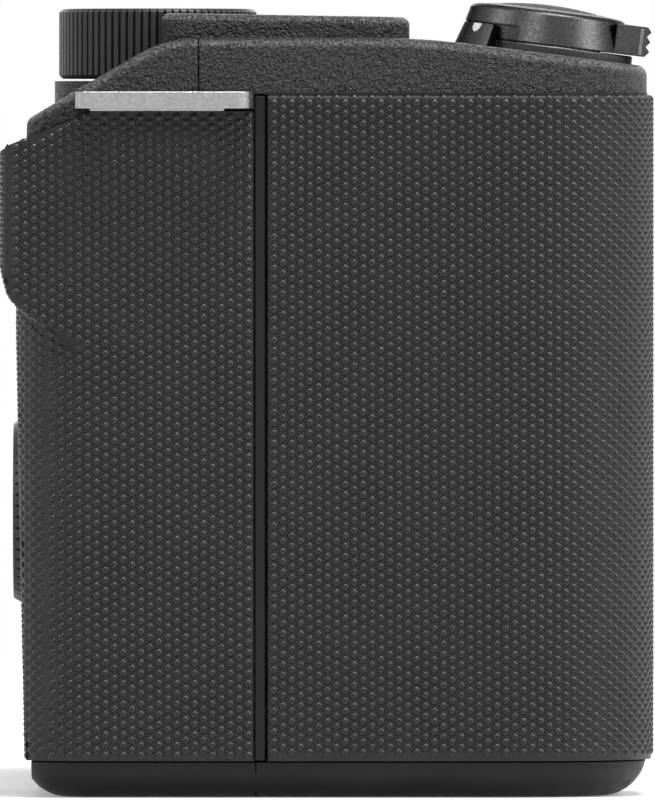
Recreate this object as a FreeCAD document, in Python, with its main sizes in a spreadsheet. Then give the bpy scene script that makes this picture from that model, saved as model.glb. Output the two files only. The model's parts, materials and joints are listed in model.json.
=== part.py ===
"""Mirrorless camera body with its grip, controls, flip-out monitor, doors and inner parts.

Row frame: X runs from the grip side to the port side, Y from the lens side to the rear, Z up.
The origin is the mouth of the tripod socket, below the lens axis. Lengths are millimetres.
"""
import FreeCAD, Part
import math
import os
import Sketcher
from FreeCAD import Placement, Rotation, Vector

SIZES = {
    # Outer planes of the covers, measured from the lens axis and the tripod socket.
    "grip_side": 70.6,
    "port_side": 43.8,
    "grip_front": 26.75,
    "grip_inner": 36.5,
    "cover_front": 11.5,
    "rear_low": 25.1,
    "rear_high": 25.9,
    "rear_high_level": 40.0,
    "shoulder_rear": 25.5,
    "deck_level": 63.9,
    # Corner radii of the housing, seen from above and from the side.
    "grip_corner": 11.5,
    "grip_inner_corner": 7.5,
    "recess_corner": 4.0,
    "port_front_corner": 6.0,
    "port_rear_corner": 3.0,
    "grip_rear_corner": 6.0,
    "base_round": 3.8,
    "top_edge_round": 0.9,
    "shoulder_start": 13.8,
    "shoulder_angle": 30.4,
    "shoulder_round": 10.5,
    "nose_start": 7.5,
    "nose_angle": 7.0,
    "nose_round": 60.0,
    # Walls, seams and the levels where the covers part.
    "wall": 1.6,
    "seam": 0.12,
    "split_drop": 4.8,
    "base_split": 3.03,
    "depth_split": 5.36,
    "shoulder_split": 11.05,
    "tongue_gap": 0.05,
    "tongue_thick": 0.85,
    "tongue_reach": 1.3,
    # Grip rubber.
    "rubber_proud": 0.4,
    "rubber_bed": 0.6,
    "rubber_gap": 0.06,
    "rubber_edge_round": 0.35,
    "front_rubber_edge": 5.2,
    "front_rubber_inner": 38.5,
    "rear_rubber_edge": 6.45,
    "rear_rubber_inner": 64.0,
    "rear_rubber_drop": 1.4,
    "rear_rubber_slope_start": 20.0,
    "rear_rubber_slope": 22.0,
    "trim_width": 0.92,
    "trim_proud": 0.25,
    "trim_bed": 0.8,
    "trim_root": 5.0,
    # Thumb rest.
    "thumb_depth": 27.6,
    "thumb_low": 41.0,
    "thumb_ramp_top": 44.5,
    "thumb_inner": 50.0,
    "thumb_ramp": 7.0,
    "thumb_ramp_round": 14.0,
    "thumb_corner": 1.2,
    "thumb_front": 15.0,
    "thumb_under_slope": 7.3,
    "thumb_under_depth": 1.7,
    "thumb_lip_depth": 0.6,
    "thumb_lip_rise": 1.2,
    # Raised plateau of the top cover.
    "plateau_grip_end": 68.2,
    "plateau_port_end": 38.0,
    "plateau_front": 6.7,
    "plateau_rear": 14.2,
    "plateau_front_rise": 1.75,
    "plateau_rear_rise": 2.1,
    "plateau_front_corner": 3.8,
    "plateau_grip_corner": 1.5,
    "plateau_port_corner": 3.0,
    "plateau_round": 0.7,
    # Rear dial.
    "dial_offset": 56.5,
    "dial_depth": 14.55,
    "dial_radius": 8.35,
    "dial_chamfer": 0.3,
    "dial_rim": 1.5,
    "dial_dish": 0.25,
    "dial_base_radius": 8.72,
    "dial_base_drop": 3.6,
    "dial_base_tall": 3.1,
    "dial_well_gap": 0.1,
    "dial_gap": 0.2,
    "dial_rise": 2.5,
    "dial_groove_half": 0.2,
    "dial_knurl_depth": 0.32,
    "dial_teeth": 80,
    "dial_shaft_radius": 1.5,
    "dial_shaft_long": 3.6,
    "dial_shaft_head": 3.0,
    "shaft_head_tall": 0.8,
    "shaft_gap": 0.05,
    # Shutter module, in its own tilted frame.
    "shutter_offset": 55.0,
    "shutter_depth": 18.05,
    "seat_radius": 7.5,
    "seat_height": 0.7,
    "seat_chamfer": 0.1,
    "seat_tube": 0.65,
    "switch_depth": 4.4,
    "switch_tall": 1.4,
    "collar_inner": 4.4,
    "collar_outer": 4.75,
    "collar_rise": 0.5,
    "ring_gap": 0.1,
    "ring_low_radius": 7.2,
    "ring_top_radius": 6.6,
    "ring_chamfer": 0.15,
    "ring_top": 3.45,
    "ring_shoulder": 0.3,
    "ring_shoulder_rise": 0.16,
    "ring_crown": 0.2,
    "ring_bridge": 1.4,
    "button_well": 4.35,
    "button_radius": 4.15,
    "button_proud": 0.05,
    "button_edge": 0.12,
    "button_dome": 0.31,
    "button_skirt": 2.25,
    "button_stem": 2.2,
    "button_stem_low": 1.9,
    "tab_reach": 8.5,
    "tab_width": 6.6,
    "tab_flare": 0.8,
    "tab_start": 5.9,
    "tab_drop": 0.15,
    "tab_tooth": 0.35,
    "tab_rows": 3,
    "tab_grooves": 7,
    "index_angle": 29.0,
    "index_half_width": 21.0,
    "index_inner": 6.45,
    "index_foot_radius": 7.65,
    "index_top_radius": 7.0,
    "notch_inner_radius": 6.35,
    "notch_corner": 0.4,
    "lever_travel": 20.0,
    # Lens mount.
    "mount_level": 31.6,
    "flange_depth": 13.5,
    "mount_seat": 11.3,
    "mount_radius": 28.6,
    "boss_rim": 1.0,
    "boss_front": 12.3,
    "ring_width": 3.8,
    "tab_depth": 1.75,
    "tab_thickness": 1.2,
    "tab_root": 0.2,
    "mount_chamfer": 0.5,
    "mount_gap": 0.1,
    "screw_inset": 2.0,
    "screw_head": 1.25,
    "screw_head_gap": 0.05,
    "screw_head_tall": 0.85,
    "screw_shank": 0.8,
    "screw_long": 4.6,
    "screw_slot_long": 1.5,
    "screw_slot_wide": 0.28,
    "screw_slot_deep": 0.45,
    "lock_inset": 2.2,
    "lock_radius": 1.0,
    "lock_gap": 0.1,
    "register": 18.0,
    # Contacts of the mount.
    "contact_inset": 1.85,
    "contact_radius": 0.45,
    "contact_long": 6.0,
    "contact_front": 12.9,
    "contact_arc_half": 1.6,
    "contact_nose_front": 12.4,
    "contact_step": 9.0,
    "contact_back": 6.8,
    "contact_nose_gap": 0.45,
    "contact_foot_gap": 0.2,
    # Frame, sensor chamber and boards.
    "frame_grip_end": 31.5,
    "frame_port_gap": 3.3,
    "frame_setback": 1.9,
    "frame_plate": 1.6,
    "frame_low": 6.0,
    "frame_drop": 2.1,
    "frame_gap": 0.15,
    "frame_floor_low": 1.75,
    "frame_floor": 1.85,
    "frame_floor_rear": 18.0,
    "frame_arm": 2.0,
    "frame_arm_rear": 10.0,
    "frame_arm_gap": 0.5,
    "frame_web": 6.0,
    "frame_boss_gap": 0.7,
    "frame_groove": 1.3,
    "frame_boss_back": 1.2,
    "chamber_wide": 17.0,
    "chamber_tall": 13.5,
    "chamber_wall": 4.0,
    "chamber_back": 1.5,
    "sensor_clear": 1.0,
    "sensor_thick": 1.5,
    "sensor_wide": 12.75,
    "sensor_tall": 8.8,
    "glass_margin": 1.85,
    "glass_thick": 1.0,
    "sensor_board_margin": 3.5,
    "board_thick": 1.2,
    "board_inset": 2.1,
    "board_drop": 1.0,
    "processor_left": 10.0,
    "processor_low": 22.0,
    "processor_side": 14.0,
    "processor_thick": 1.6,
    "memory_left": 8.0,
    "memory_low": 24.0,
    "memory_wide": 9.0,
    "memory_tall": 10.0,
    "memory_thick": 1.2,
    "power_chip_left": 22.0,
    "power_chip_low": 12.0,
    "power_chip_side": 8.0,
    "power_chip_thick": 1.8,
    # Lens release and lamp of the front.
    "release_across": 33.6,
    "release_level": 17.0,
    "release_radius": 3.75,
    "release_gap": 0.12,
    "release_proud": 1.9,
    "release_rim": 0.65,
    "release_rim_thick": 0.7,
    "release_stem": 2.0,
    "release_stem_long": 6.0,
    "release_tall": 4.4,
    "lamp_drop": 10.1,
    "lamp_radius": 2.2,
    "lamp_thick": 1.9,
    # Monitor.
    "monitor_inner": 29.5,
    "monitor_low": 6.2,
    "monitor_drop": 3.9,
    "monitor_gap": 0.4,
    "recess_floor": 19.4,
    "monitor_front": 19.8,
    "monitor_back": 25.3,
    "hinge_offset": 40.65,
    "notch_rise": 8.3,
    "notch_drop": 4.7,
    "notch_inner": 35.9,
    "hinge_pin_radius": 0.8,
    "hinge_pin_gap": 0.04,
    "hinge_gap": 0.3,
    "hinge_knuckle": 3.4,
    "hinge_washer": 0.2,
    "hinge_leaf": 0.3,
    "hinge_leaf_half": 2.4,
    "hinge_ear_half": 1.4,
    "tilt_pin": 1.0,
    "tilt_pin_long": 3.0,
    "bezel_thick": 1.3,
    "bezel_side": 2.8,
    "bezel_end": 1.9,
    "bezel_port_end": 9.5,
    "glass_room": 0.1,
    "glass_step": 0.6,
    "glass_seat": 0.55,
    # Control wheel and the buttons of the back.
    "wheel_offset": 50.5,
    "wheel_level": 23.95,
    "wheel_radius": 7.9,
    "wheel_hole": 4.6,
    "wheel_proud": 0.9,
    "wheel_tall": 5.8,
    "wheel_skirt": 2.6,
    "wheel_skirt_step": 1.2,
    "wheel_rim": 1.6,
    "wheel_edge": 0.5,
    "wheel_edge_tall": 0.9,
    "wheel_dish": 0.7,
    "wheel_slope": 0.1,
    "wheel_gap": 0.25,
    "wheel_float": 0.1,
    "wheel_cup": 1.2,
    "wheel_groove_half": 0.4,
    "wheel_teeth": 50,
    "wheel_tooth": 0.45,
    "centre_button_radius": 4.4,
    "centre_button_sunk": 0.5,
    "centre_button_edge": 0.3,
    "centre_skirt": 2.0,
    "centre_stem": 3.4,
    "centre_stem_long": 5.8,
    "centre_stem_gap": 0.2,
    "back_button_radius": 2.55,
    "back_button_proud": 0.5,
    "back_button_deep": 3.2,
    "button_gap": 0.12,
    "button_collar": 0.7,
    "collar_gap": 0.2,
    "button_chamfer": 0.25,
    "plateau_button_deep": 3.6,
    "nose_button_deep": 2.9,
    # Power switch.
    "switch_across": 57.5,
    "switch_back": 0.6,
    "switch_half_deep": 1.6,
    "switch_long": 6.4,
    "switch_slot_half": 5.2,
    "switch_gap": 0.15,
    "switch_knob_tall": 3.0,
    "switch_sunk": 0.05,
    "switch_slot_deep": 6.0,
    "switch_ridge": 0.35,
    "switch_ridge_pitch": 1.2,
    "switch_ridge_wide": 0.5,
    # Battery, card and the bottom door.
    "battery_wide": 22.7,
    "battery_deep": 38.7,
    "battery_drop": 4.8,
    "battery_port_side": 40.6,
    "battery_rear": 18.0,
    "battery_low": 2.6,
    "battery_corner": 1.2,
    "battery_mark": 0.4,
    "bay_gap": 0.3,
    "bay_wall": 0.8,
    "bay_roof": 0.6,
    "bay_lift": 0.3,
    "bay_contact_pitch": 3.0,
    "card_wide": 2.1,
    "card_deep": 24.0,
    "card_tall": 32.0,
    "card_port_side": 34.9,
    "card_rear": 17.0,
    "card_lift": 2.0,
    "card_gap": 0.15,
    "card_holder": 0.9,
    "door_thick": 1.6,
    "door_gap": 0.15,
    "door_grip_side": 65.8,
    "door_inner": 40.3,
    "door_hinge_side": 32.4,
    "door_front": 22.6,
    "door_step": 9.2,
    "door_rear": 19.6,
    "door_front_round": 7.3,
    "door_barrel": 0.9,
    "door_pin": 0.4,
    "door_pin_gap": 0.04,
    "door_barrel_inset": 1.75,
    "door_pin_inset": 0.9,
    "latch_port": 58.2,
    "latch_wide": 4.0,
    "latch_front": 3.0,
    "latch_long": 5.0,
    "latch_travel": 3.0,
    "latch_low": 0.25,
    "latch_thick": 0.6,
    "latch_gap": 0.2,
    "seal_outer": 0.4,
    "seal_inner": 1.6,
    "seal_tall": 0.9,
    # Tripod socket.
    "tripod_radius": 3.175,
    "tripod_depth": 5.5,
    "socket_radius": 6.0,
    "socket_flange": 8.0,
    "socket_height": 7.5,
    "socket_flange_tall": 1.2,
    "socket_gap": 0.05,
    "base_screw_head": 1.5,
    "base_screw_grip": 27.0,
    "base_screw_port": 37.0,
    "base_screw_front": 6.5,
    "base_screw_rear": 17.0,
    "base_screw_shank": 0.8,
    "base_screw_long": 5.0,
    "base_screw_sunk": 0.3,
    "base_screw_tall": 0.8,
    "base_screw_gap": 0.1,
    "base_groove_depth": 6.18,
    # Strap lugs.
    "lug_front": 6.4,
    "lug_front_port": 4.0,
    "lug_length": 15.0,
    "lug_drop": 1.16,
    "lug_thick": 1.42,
    "lug_reach": 4.0,
    "lug_root": 2.6,
    "lug_gap": 0.06,
    "lug_front_round": 1.85,
    "lug_rear_round": 0.8,
    "lug_slot_start": 1.2,
    "lug_slot_wide": 1.8,
    "lug_slot_end": 3.0,
    "lug_step_front": 2.5,
    "lug_step_rear": 1.2,
    "lug_step_reach": 0.9,
    "lug_step_root": 1.0,
    "lug_step_drop": 0.2,
    "lug_step_tall": 0.6,
    # Hot shoe.
    "shoe_offset": 20.0,
    "shoe_slot": 18.8,
    "shoe_mouth": 12.6,
    "shoe_rail": 1.1,
    "shoe_height": 2.1,
    "shoe_side": 1.2,
    "shoe_front": 5.2,
    "shoe_floor": 0.6,
    "shoe_gap": 0.05,
    "shoe_rear_gap": 0.3,
    "shoe_pad_half": 5.5,
    "shoe_pad_inset": 1.5,
    "shoe_contact_tall": 0.3,
    "shoe_contact_radius": 1.6,
    "shoe_contact_depth": 5.0,
    "shoe_pin_pitch": 1.15,
    "shoe_pin_wide": 0.6,
    "shoe_pin_long": 2.4,
    "shoe_pin_start": 2.2,
    # Microphone grille.
    "grille_grip_end": 25.0,
    "grille_port_end": 3.0,
    "grille_front": 3.4,
    "grille_rear": 11.0,
    "grille_root": 0.4,
    "grille_gap": 0.1,
    "grille_sunk": 0.1,
    "grille_pitch": 2.0,
    "grille_slot": 1.0,
    "grille_slot_deep": 1.0,
    "grille_edge": 1.2,
    # Ports of the port side.
    "port_front": 6.4,
    "port_rear": 17.0,
    "upper_port_low": 38.6,
    "upper_port_drop": 6.1,
    "lower_port_low": 9.0,
    "lower_port_high": 37.4,
    "port_door_thick": 0.9,
    "port_door_gap": 0.1,
    "port_door_grip": 1.0,
    "port_door_grip_low": 3.0,
    "port_door_grip_tall": 3.0,
    "port_door_grip_deep": 0.5,
    "port_setback": 0.2,
    "port_panel_thick": 1.4,
    "port_panel_rim": 1.0,
    "port_panel_low": 2.0,
    "port_panel_rise": 1.2,
    "jack_radius": 1.8,
    "jack_outer": 3.1,
    "jack_long": 12.0,
    "jack_end": 1.0,
    "headphone_drop": 5.6,
    "usb_rise": 10.6,
    "usb_half": 4.6,
    "usb_tall": 3.3,
    "hdmi_rise": 2.5,
    "hdmi_half": 3.4,
    "hdmi_tall": 2.8,
    "plug_shell": 0.4,
    "plug_long": 8.0,
    "plug_tongue_side": 1.3,
    "plug_tongue_tall": 0.6,
    "plug_tongue_back": 0.5,
}

doc = FreeCAD.newDocument("camera")
sheet = doc.addObject("Spreadsheet::Sheet", "Sizes")


class Size:
    """A length held both as a number and as a formula over the sheet's cells."""

    def __init__(self, number, formula):
        self.number = number
        self.formula = formula

    def __float__(self):
        return float(self.number)

    def __add__(self, other):
        other = as_size(other)
        return Size(self.number + other.number, f"({self.formula} + {other.formula})")

    def __sub__(self, other):
        other = as_size(other)
        return Size(self.number - other.number, f"({self.formula} - {other.formula})")

    def __mul__(self, other):
        other = as_size(other)
        return Size(self.number * other.number, f"({self.formula} * {other.formula})")

    def __truediv__(self, other):
        other = as_size(other)
        return Size(self.number / other.number, f"({self.formula} / {other.formula})")

    def __neg__(self):
        return Size(-self.number, f"(0 - {self.formula})")

    def __radd__(self, other):
        return as_size(other) + self

    def __rsub__(self, other):
        return as_size(other) - self

    def __rmul__(self, other):
        return as_size(other) * self


def as_size(value):
    if isinstance(value, Size):
        return value
    return Size(float(value), f"({float(value)!r})")


class Sizes:
    """The sheet's cells by name."""


def fill_sheet():
    """Write every driving size into its own cell and return them by name."""
    cells = Sizes()
    for row, (alias, value) in enumerate(SIZES.items(), start=1):
        sheet.set(f"A{row}", alias.replace("_", " "))
        sheet.set(f"B{row}", str(value))
        sheet.setAlias(f"B{row}", alias)
        setattr(cells, alias, Size(float(value), f"Sizes.{alias}"))
    doc.recompute()
    return cells


def derive(cells):
    """Planes and radii that follow from the driving sizes."""
    cells.top_split = cells.deck_level - cells.split_drop
    cells.rear_rubber_top = cells.top_split - cells.rear_rubber_drop
    cells.lug_level = cells.top_split - cells.lug_drop
    cells.plateau_front_level = cells.deck_level + cells.plateau_front_rise
    cells.plateau_rear_level = cells.deck_level + cells.plateau_rear_rise
    cells.dial_base_level = cells.deck_level - cells.dial_base_drop
    cells.dial_top = cells.deck_level + cells.dial_rise
    cells.boss_radius = cells.mount_radius + cells.boss_rim
    cells.groove_radius = cells.mount_radius - cells.ring_width
    cells.throat_radius = cells.groove_radius - cells.tab_depth
    cells.screw_circle = cells.mount_radius - cells.screw_inset
    cells.lock_circle = cells.mount_radius - cells.lock_inset
    cells.contact_circle = cells.throat_radius - cells.contact_inset
    cells.monitor_high = cells.top_split - cells.monitor_drop
    cells.notch_low = cells.monitor_low + cells.notch_rise
    cells.notch_high = cells.monitor_high - cells.notch_drop
    cells.wheel_face = cells.rear_high + cells.wheel_proud
    cells.wheel_hub = cells.wheel_face - cells.wheel_tall
    cells.battery_top = cells.top_split - cells.battery_drop
    cells.upper_port_high = cells.top_split - cells.upper_port_drop
    cells.lamp_level = cells.top_split - cells.lamp_drop
    cells.frame_front = cells.cover_front - cells.frame_setback
    cells.frame_back = cells.frame_front - cells.frame_plate
    cells.frame_high = cells.top_split - cells.frame_drop
    cells.frame_port_end = cells.port_side - cells.frame_port_gap
    cells.jack_back = cells.port_side - cells.wall - cells.port_setback - cells.jack_long
    cells.frame_arm_inner = cells.jack_back - cells.frame_arm_gap - cells.frame_arm
    return cells


s = derive(fill_sheet())

# Directions that a piece is built along, as (local x, local y, local z) in the row frame.
X, Y, Z = Vector(1, 0, 0), Vector(0, 1, 0), Vector(0, 0, 1)
UP = Rotation(X, Y, Z, "ZXY")
BACKWARD = Rotation(-X, Z, Y, "ZXY")
EPSILON = 1e-6
FAR = 90.0


def vector(point):
    return Vector(*(float(value) for value in point))


def place(thing, point, rotation=UP):
    """Put an object at a point whose coordinates stay bound to the sheet."""
    thing.Placement = Placement(vector(point), rotation)
    for letter, value in zip("xyz", point):
        thing.setExpression(f"Placement.Base.{letter}", as_size(value).formula)
    return thing


def bind(thing, **values):
    for name, value in values.items():
        setattr(thing, name, float(value))
        thing.setExpression(name, as_size(value).formula)
    return thing


def made(kind, name):
    thing = doc.addObject(kind, name)
    thing.Label = name
    return thing


def box(name, low, high):
    """Box between two corners."""
    thing = made("Part::Box", name)
    bind(thing, Length=high[0] - as_size(low[0]), Width=high[1] - as_size(low[1]),
         Height=high[2] - as_size(low[2]))
    return place(thing, low)


def cylinder(name, radius, height, point, rotation=UP):
    thing = made("Part::Cylinder", name)
    bind(thing, Radius=radius, Height=height)
    return place(thing, point, rotation)


def unite(name, pieces):
    thing = made("Part::MultiFuse", name)
    thing.Shapes = pieces
    thing.Refine = True
    return thing


def subtract(name, base, tools):
    thing = made("Part::Cut", name)
    thing.Base = base
    thing.Tool = tools[0] if len(tools) == 1 else unite(name + "_tools", tools)
    return thing


def shaped(name, shape):
    """A piece whose outline no single feature describes."""
    thing = made("Part::Feature", name)
    thing.Shape = shape
    thing.Placement = Placement()
    return thing


def new_body(name, point=(0, 0, 0), rotation=UP):
    return place(made("PartDesign::Body", name), point, rotation)


def origin_plane(body, role="XY_Plane"):
    return [item for item in body.Origin.OriginFeatures if item.Role == role][0]


def new_sketch(body, name, role="XY_Plane", height=0):
    sketch = body.newObject("Sketcher::SketchObject", name)
    sketch.AttachmentSupport = [(origin_plane(body, role), "")]
    sketch.MapMode = "FlatFace"
    sketch.AttachmentOffset = Placement(Vector(0, 0, float(height)), Rotation())
    sketch.setExpression("AttachmentOffset.Base.z", as_size(height).formula)
    return sketch


def draw_polygon(sketch, corners):
    """Closed outline with both coordinates of each corner bound to the sheet."""
    points = [(as_size(x), as_size(y)) for x, y in corners]
    count = len(points)
    first = sketch.GeometryCount
    for index in range(count):
        here, there = points[index], points[(index + 1) % count]
        start = Vector(float(here[0]), float(here[1]), 0)
        end = Vector(float(there[0]), float(there[1]), 0)
        sketch.addGeometry(Part.LineSegment(start, end), False)
    for index in range(count):
        following = first + (index + 1) % count
        sketch.addConstraint(Sketcher.Constraint("Coincident", first + index, 2, following, 1))
    for index, (x, y) in enumerate(points):
        for kind, axis, value in (("DistanceX", -2, x), ("DistanceY", -1, y)):
            if abs(float(value)) < EPSILON:
                sketch.addConstraint(Sketcher.Constraint("PointOnObject", first + index, 1, axis))
                continue
            datum = Sketcher.Constraint(kind, -1, 1, first + index, 1, float(value))
            number = sketch.addConstraint(datum)
            sketch.setExpression(f"Constraints[{number}]", value.formula)


def pad(body, name, corners, length, height=0):
    sketch = new_sketch(body, name + "_sketch", height=height)
    draw_polygon(sketch, corners)
    feature = body.newObject("PartDesign::Pad", name)
    feature.Profile = sketch
    bind(feature, Length=length)
    sketch.Visibility = False
    return feature


def pocket(body, name, length, height, corners):
    """Cut from a height downwards, and stop if nothing was removed."""
    doc.recompute()
    before = body.Shape.Volume
    sketch = new_sketch(body, name + "_sketch", height=height)
    draw_polygon(sketch, corners)
    feature = body.newObject("PartDesign::Pocket", name)
    feature.Profile = sketch
    bind(feature, Length=length)
    doc.recompute()
    if not body.Shape.Volume < before - EPSILON:
        raise ValueError(f"{body.Label}: {name} removes nothing")
    return feature


def turned(name, profile, point=(0, 0, 0), rotation=UP):
    """Body of revolution about its local z, from (radius, height) corners."""
    body = new_body(name, point, rotation)
    sketch = new_sketch(body, name + "_profile", "XZ_Plane")
    draw_polygon(sketch, profile)
    feature = body.newObject("PartDesign::Revolution", name + "_turn")
    feature.Profile = sketch
    feature.ReferenceAxis = (sketch, ["V_Axis"])
    feature.Angle = 360
    return body


def corner_edges(feature, corners):
    """Names of the edges of a straight pad that stand on the given corners."""
    names = []
    for number, edge in enumerate(feature.Shape.Edges, start=1):
        middle = edge.CenterOfMass
        low, high = edge.BoundBox.ZMin, edge.BoundBox.ZMax
        upright = high - low > EPSILON
        for x, y in corners:
            if upright and abs(middle.x - float(x)) < 0.01 and abs(middle.y - float(y)) < 0.01:
                names.append(f"Edge{number}")
    return names


def round_corners(body, name, base, corners, radius):
    doc.recompute()
    feature = body.newObject("PartDesign::Fillet", name)
    feature.Base = (base, corner_edges(base, corners))
    bind(feature, Radius=radius)
    doc.recompute()
    return feature


def rectangle(x_low, y_low, x_high, y_high):
    return [(x_low, y_low), (x_high, y_low), (x_high, y_high), (x_low, y_high)]


# Shapes of the housing.

def offset_corners(corners, inset):
    """Move a closed outline of (x, y, radius) corners inwards, radii included."""
    moved = []
    for index, (x, y, radius) in enumerate(corners):
        before = corners[index - 1]
        after = corners[(index + 1) % len(corners)]
        coming = Vector(x - before[0], y - before[1], 0).normalize()
        going = Vector(after[0] - x, after[1] - y, 0).normalize()
        left_in = Vector(-coming.y, coming.x, 0)
        left_out = Vector(-going.y, going.x, 0)
        shift = (left_in + left_out) * (inset / (1 + left_in.dot(left_out)))
        convex = coming.cross(going).z > 0
        new_radius = max(radius - inset if convex else radius + inset, 0.05) if radius else 0
        moved.append((x + shift.x, y + shift.y, new_radius))
    return moved


def rounded_face(corners, to_space):
    """Face inside straight sides joined by tangent arcs."""
    starts, ends, middles = [], [], []
    count = len(corners)
    for index, (x, y, radius) in enumerate(corners):
        corner = Vector(x, y, 0)
        before = Vector(*corners[index - 1][:2], 0)
        after = Vector(*corners[(index + 1) % count][:2], 0)
        back = (before - corner).normalize()
        ahead = (after - corner).normalize()
        if radius <= 0:
            starts.append(corner)
            ends.append(corner)
            middles.append(None)
            continue
        half = back.getAngle(ahead) / 2
        reach = radius / math.tan(half)
        centre = corner + (back + ahead).normalize() * (radius / math.sin(half))
        starts.append(corner + back * reach)
        ends.append(corner + ahead * reach)
        middles.append(centre + (corner - centre).normalize() * radius)
    edges = []
    for index in range(count):
        if middles[index] is not None:
            arc = [to_space(point) for point in (starts[index], middles[index], ends[index])]
            edges.append(Part.Arc(*arc).toShape())
        following = (index + 1) % count
        if (starts[following] - ends[index]).Length > EPSILON:
            edges.append(Part.LineSegment(to_space(ends[index]), to_space(starts[following])).toShape())
    return Part.Face(Part.Wire(edges))


def prism(corners, low, high):
    """Upright prism over rounded corners in the XY plane."""
    face = rounded_face(corners, lambda point: Vector(point.x, point.y, low))
    return face.extrude(Vector(0, 0, high - low))


def side_prism(corners, low, high):
    """Prism along X over rounded corners given as (depth, level, radius)."""
    face = rounded_face(corners, lambda point: Vector(low, point.x, point.y))
    return face.extrude(Vector(high - low, 0, 0))


def block(low, high):
    sides = [float(b) - float(a) for a, b in zip(low, high)]
    return Part.makeBox(*sides, vector(low))


def drum(radius, height, point, direction=Z):
    return Part.makeCylinder(float(radius), float(height), vector(point), direction)


def grown(shape_low, shape_high, margin):
    low = [float(value) - margin for value in shape_low]
    high = [float(value) + margin for value in shape_high]
    return block(low, high)


def plan_corners():
    """Outline of the housing from above, from the rear grip corner round by the lens side."""
    grip, port = float(s.grip_side), float(s.port_side)
    front, inner = float(s.grip_front), float(s.grip_inner)
    cover, rear = float(s.cover_front), float(s.rear_high)
    return [(-grip, rear, float(s.grip_rear_corner)), (-grip, -front, float(s.grip_corner)),
            (-inner, -front, float(s.grip_inner_corner)), (-inner, -cover, float(s.recess_corner)),
            (port, -cover, float(s.port_front_corner)), (port, rear, float(s.port_rear_corner))]


def side_corners():
    """Outline of the housing from the side: sloping rear, shoulder, deck and falling nose."""
    deck, far = float(s.deck_level), FAR
    fall = math.tan(math.radians(float(s.shoulder_angle)))
    nose = math.tan(math.radians(float(s.nose_angle)))
    lean = (float(s.rear_high) - float(s.rear_low)) / float(s.rear_high_level)
    start, foot = float(s.shoulder_start), float(s.shoulder_rear)
    return [(-far, -far, 0), (float(s.rear_low) - far * lean, -far, 0),
            (float(s.rear_high), float(s.rear_high_level), 0), (foot, deck - (foot - start) * fall, 0),
            (start, deck, float(s.shoulder_round)),
            (-float(s.nose_start), deck, float(s.nose_round)),
            (-far, deck - (far - float(s.nose_start)) * nose, 0)]


def top_edges(shape):
    """Edges between an upright wall and the deck or the shoulder."""
    found = []
    for edge in shape.Edges:
        if edge.BoundBox.ZMin < float(s.rear_high_level):
            continue
        tilts = []
        for face in shape.ancestorsOfType(edge, Part.Face):
            u, v = face.Surface.parameter(edge.CenterOfMass)
            tilts.append(abs(face.normalAt(u, v).z))
        if min(tilts) < 0.05 and max(tilts) > 0.5:
            found.append(edge)
    return found


def hull(inset, finished=False):
    """The housing as one solid, moved inwards by the inset."""
    face = rounded_face(offset_corners(plan_corners(), inset),
                        lambda point: Vector(point.x, point.y, inset))
    tower = face.extrude(Vector(0, 0, FAR))
    rim = [edge for edge in tower.Edges if abs(edge.BoundBox.ZMax - inset) < EPSILON]
    tower = tower.makeFillet(float(s.base_round) - inset, rim)
    side = side_prism(offset_corners(side_corners(), inset), -FAR, FAR)
    shape = tower.common(side)
    if finished:
        shape = shape.makeFillet(float(s.top_edge_round), top_edges(shape))
    return shape


def solid_of(shape):
    """The single solid of a boolean's result."""
    solids = shape.removeSplitter().Solids
    return max(solids, key=lambda solid: solid.Volume)


outside = hull(0, finished=True)
inside = hull(float(s.wall))
bed = hull(float(s.rubber_bed))
half_seam = float(s.seam) / 2


def split_tongue():
    """Lip inside the shell that stands up behind the seam of the top cover."""
    split, reach = float(s.top_split), float(s.tongue_reach)
    core = prism(offset_corners(plan_corners(), float(s.wall) + float(s.tongue_thick)), -FAR, FAR)
    band = block((-FAR, -FAR, split - reach), (FAR, FAR, split + reach))
    root = block((-FAR, -FAR, split - reach), (FAR, FAR, split - half_seam))
    lip = hull(float(s.wall) + float(s.tongue_gap)).common(band)
    return lip.fuse(inside.common(root)).cut(core)


# Grip rubber and trim.

def front_rubber_zone(margin):
    low = (-FAR, -FAR, float(s.base_split) + half_seam)
    high = (-float(s.front_rubber_inner), float(s.front_rubber_edge), float(s.top_split) - half_seam)
    return grown(low, high, margin)


def rear_rubber_zone(margin):
    """Side region under the sloping top edge, and the wider thumb rest region above."""
    edge, top = float(s.rear_rubber_edge) - margin, float(s.rear_rubber_top) + margin
    turn, far = float(s.rear_rubber_slope_start), FAR
    drop = (far - turn) * math.tan(math.radians(float(s.rear_rubber_slope)))
    low = float(s.base_split) + half_seam - margin
    side = [(edge, low, 0), (far, low, 0), (far, top - drop, 0), (turn, top, 0), (edge, top, 0)]
    side_zone = side_prism(side, -FAR, -float(s.rear_rubber_inner) + margin)
    thumb_zone = side_prism(side, -FAR, -float(s.thumb_inner) + margin)
    thumb_zone = thumb_zone.common(block((-FAR, 0, float(s.thumb_low) - 1 - margin), (0, FAR, FAR)))
    return side_zone.fuse(thumb_zone)


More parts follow.
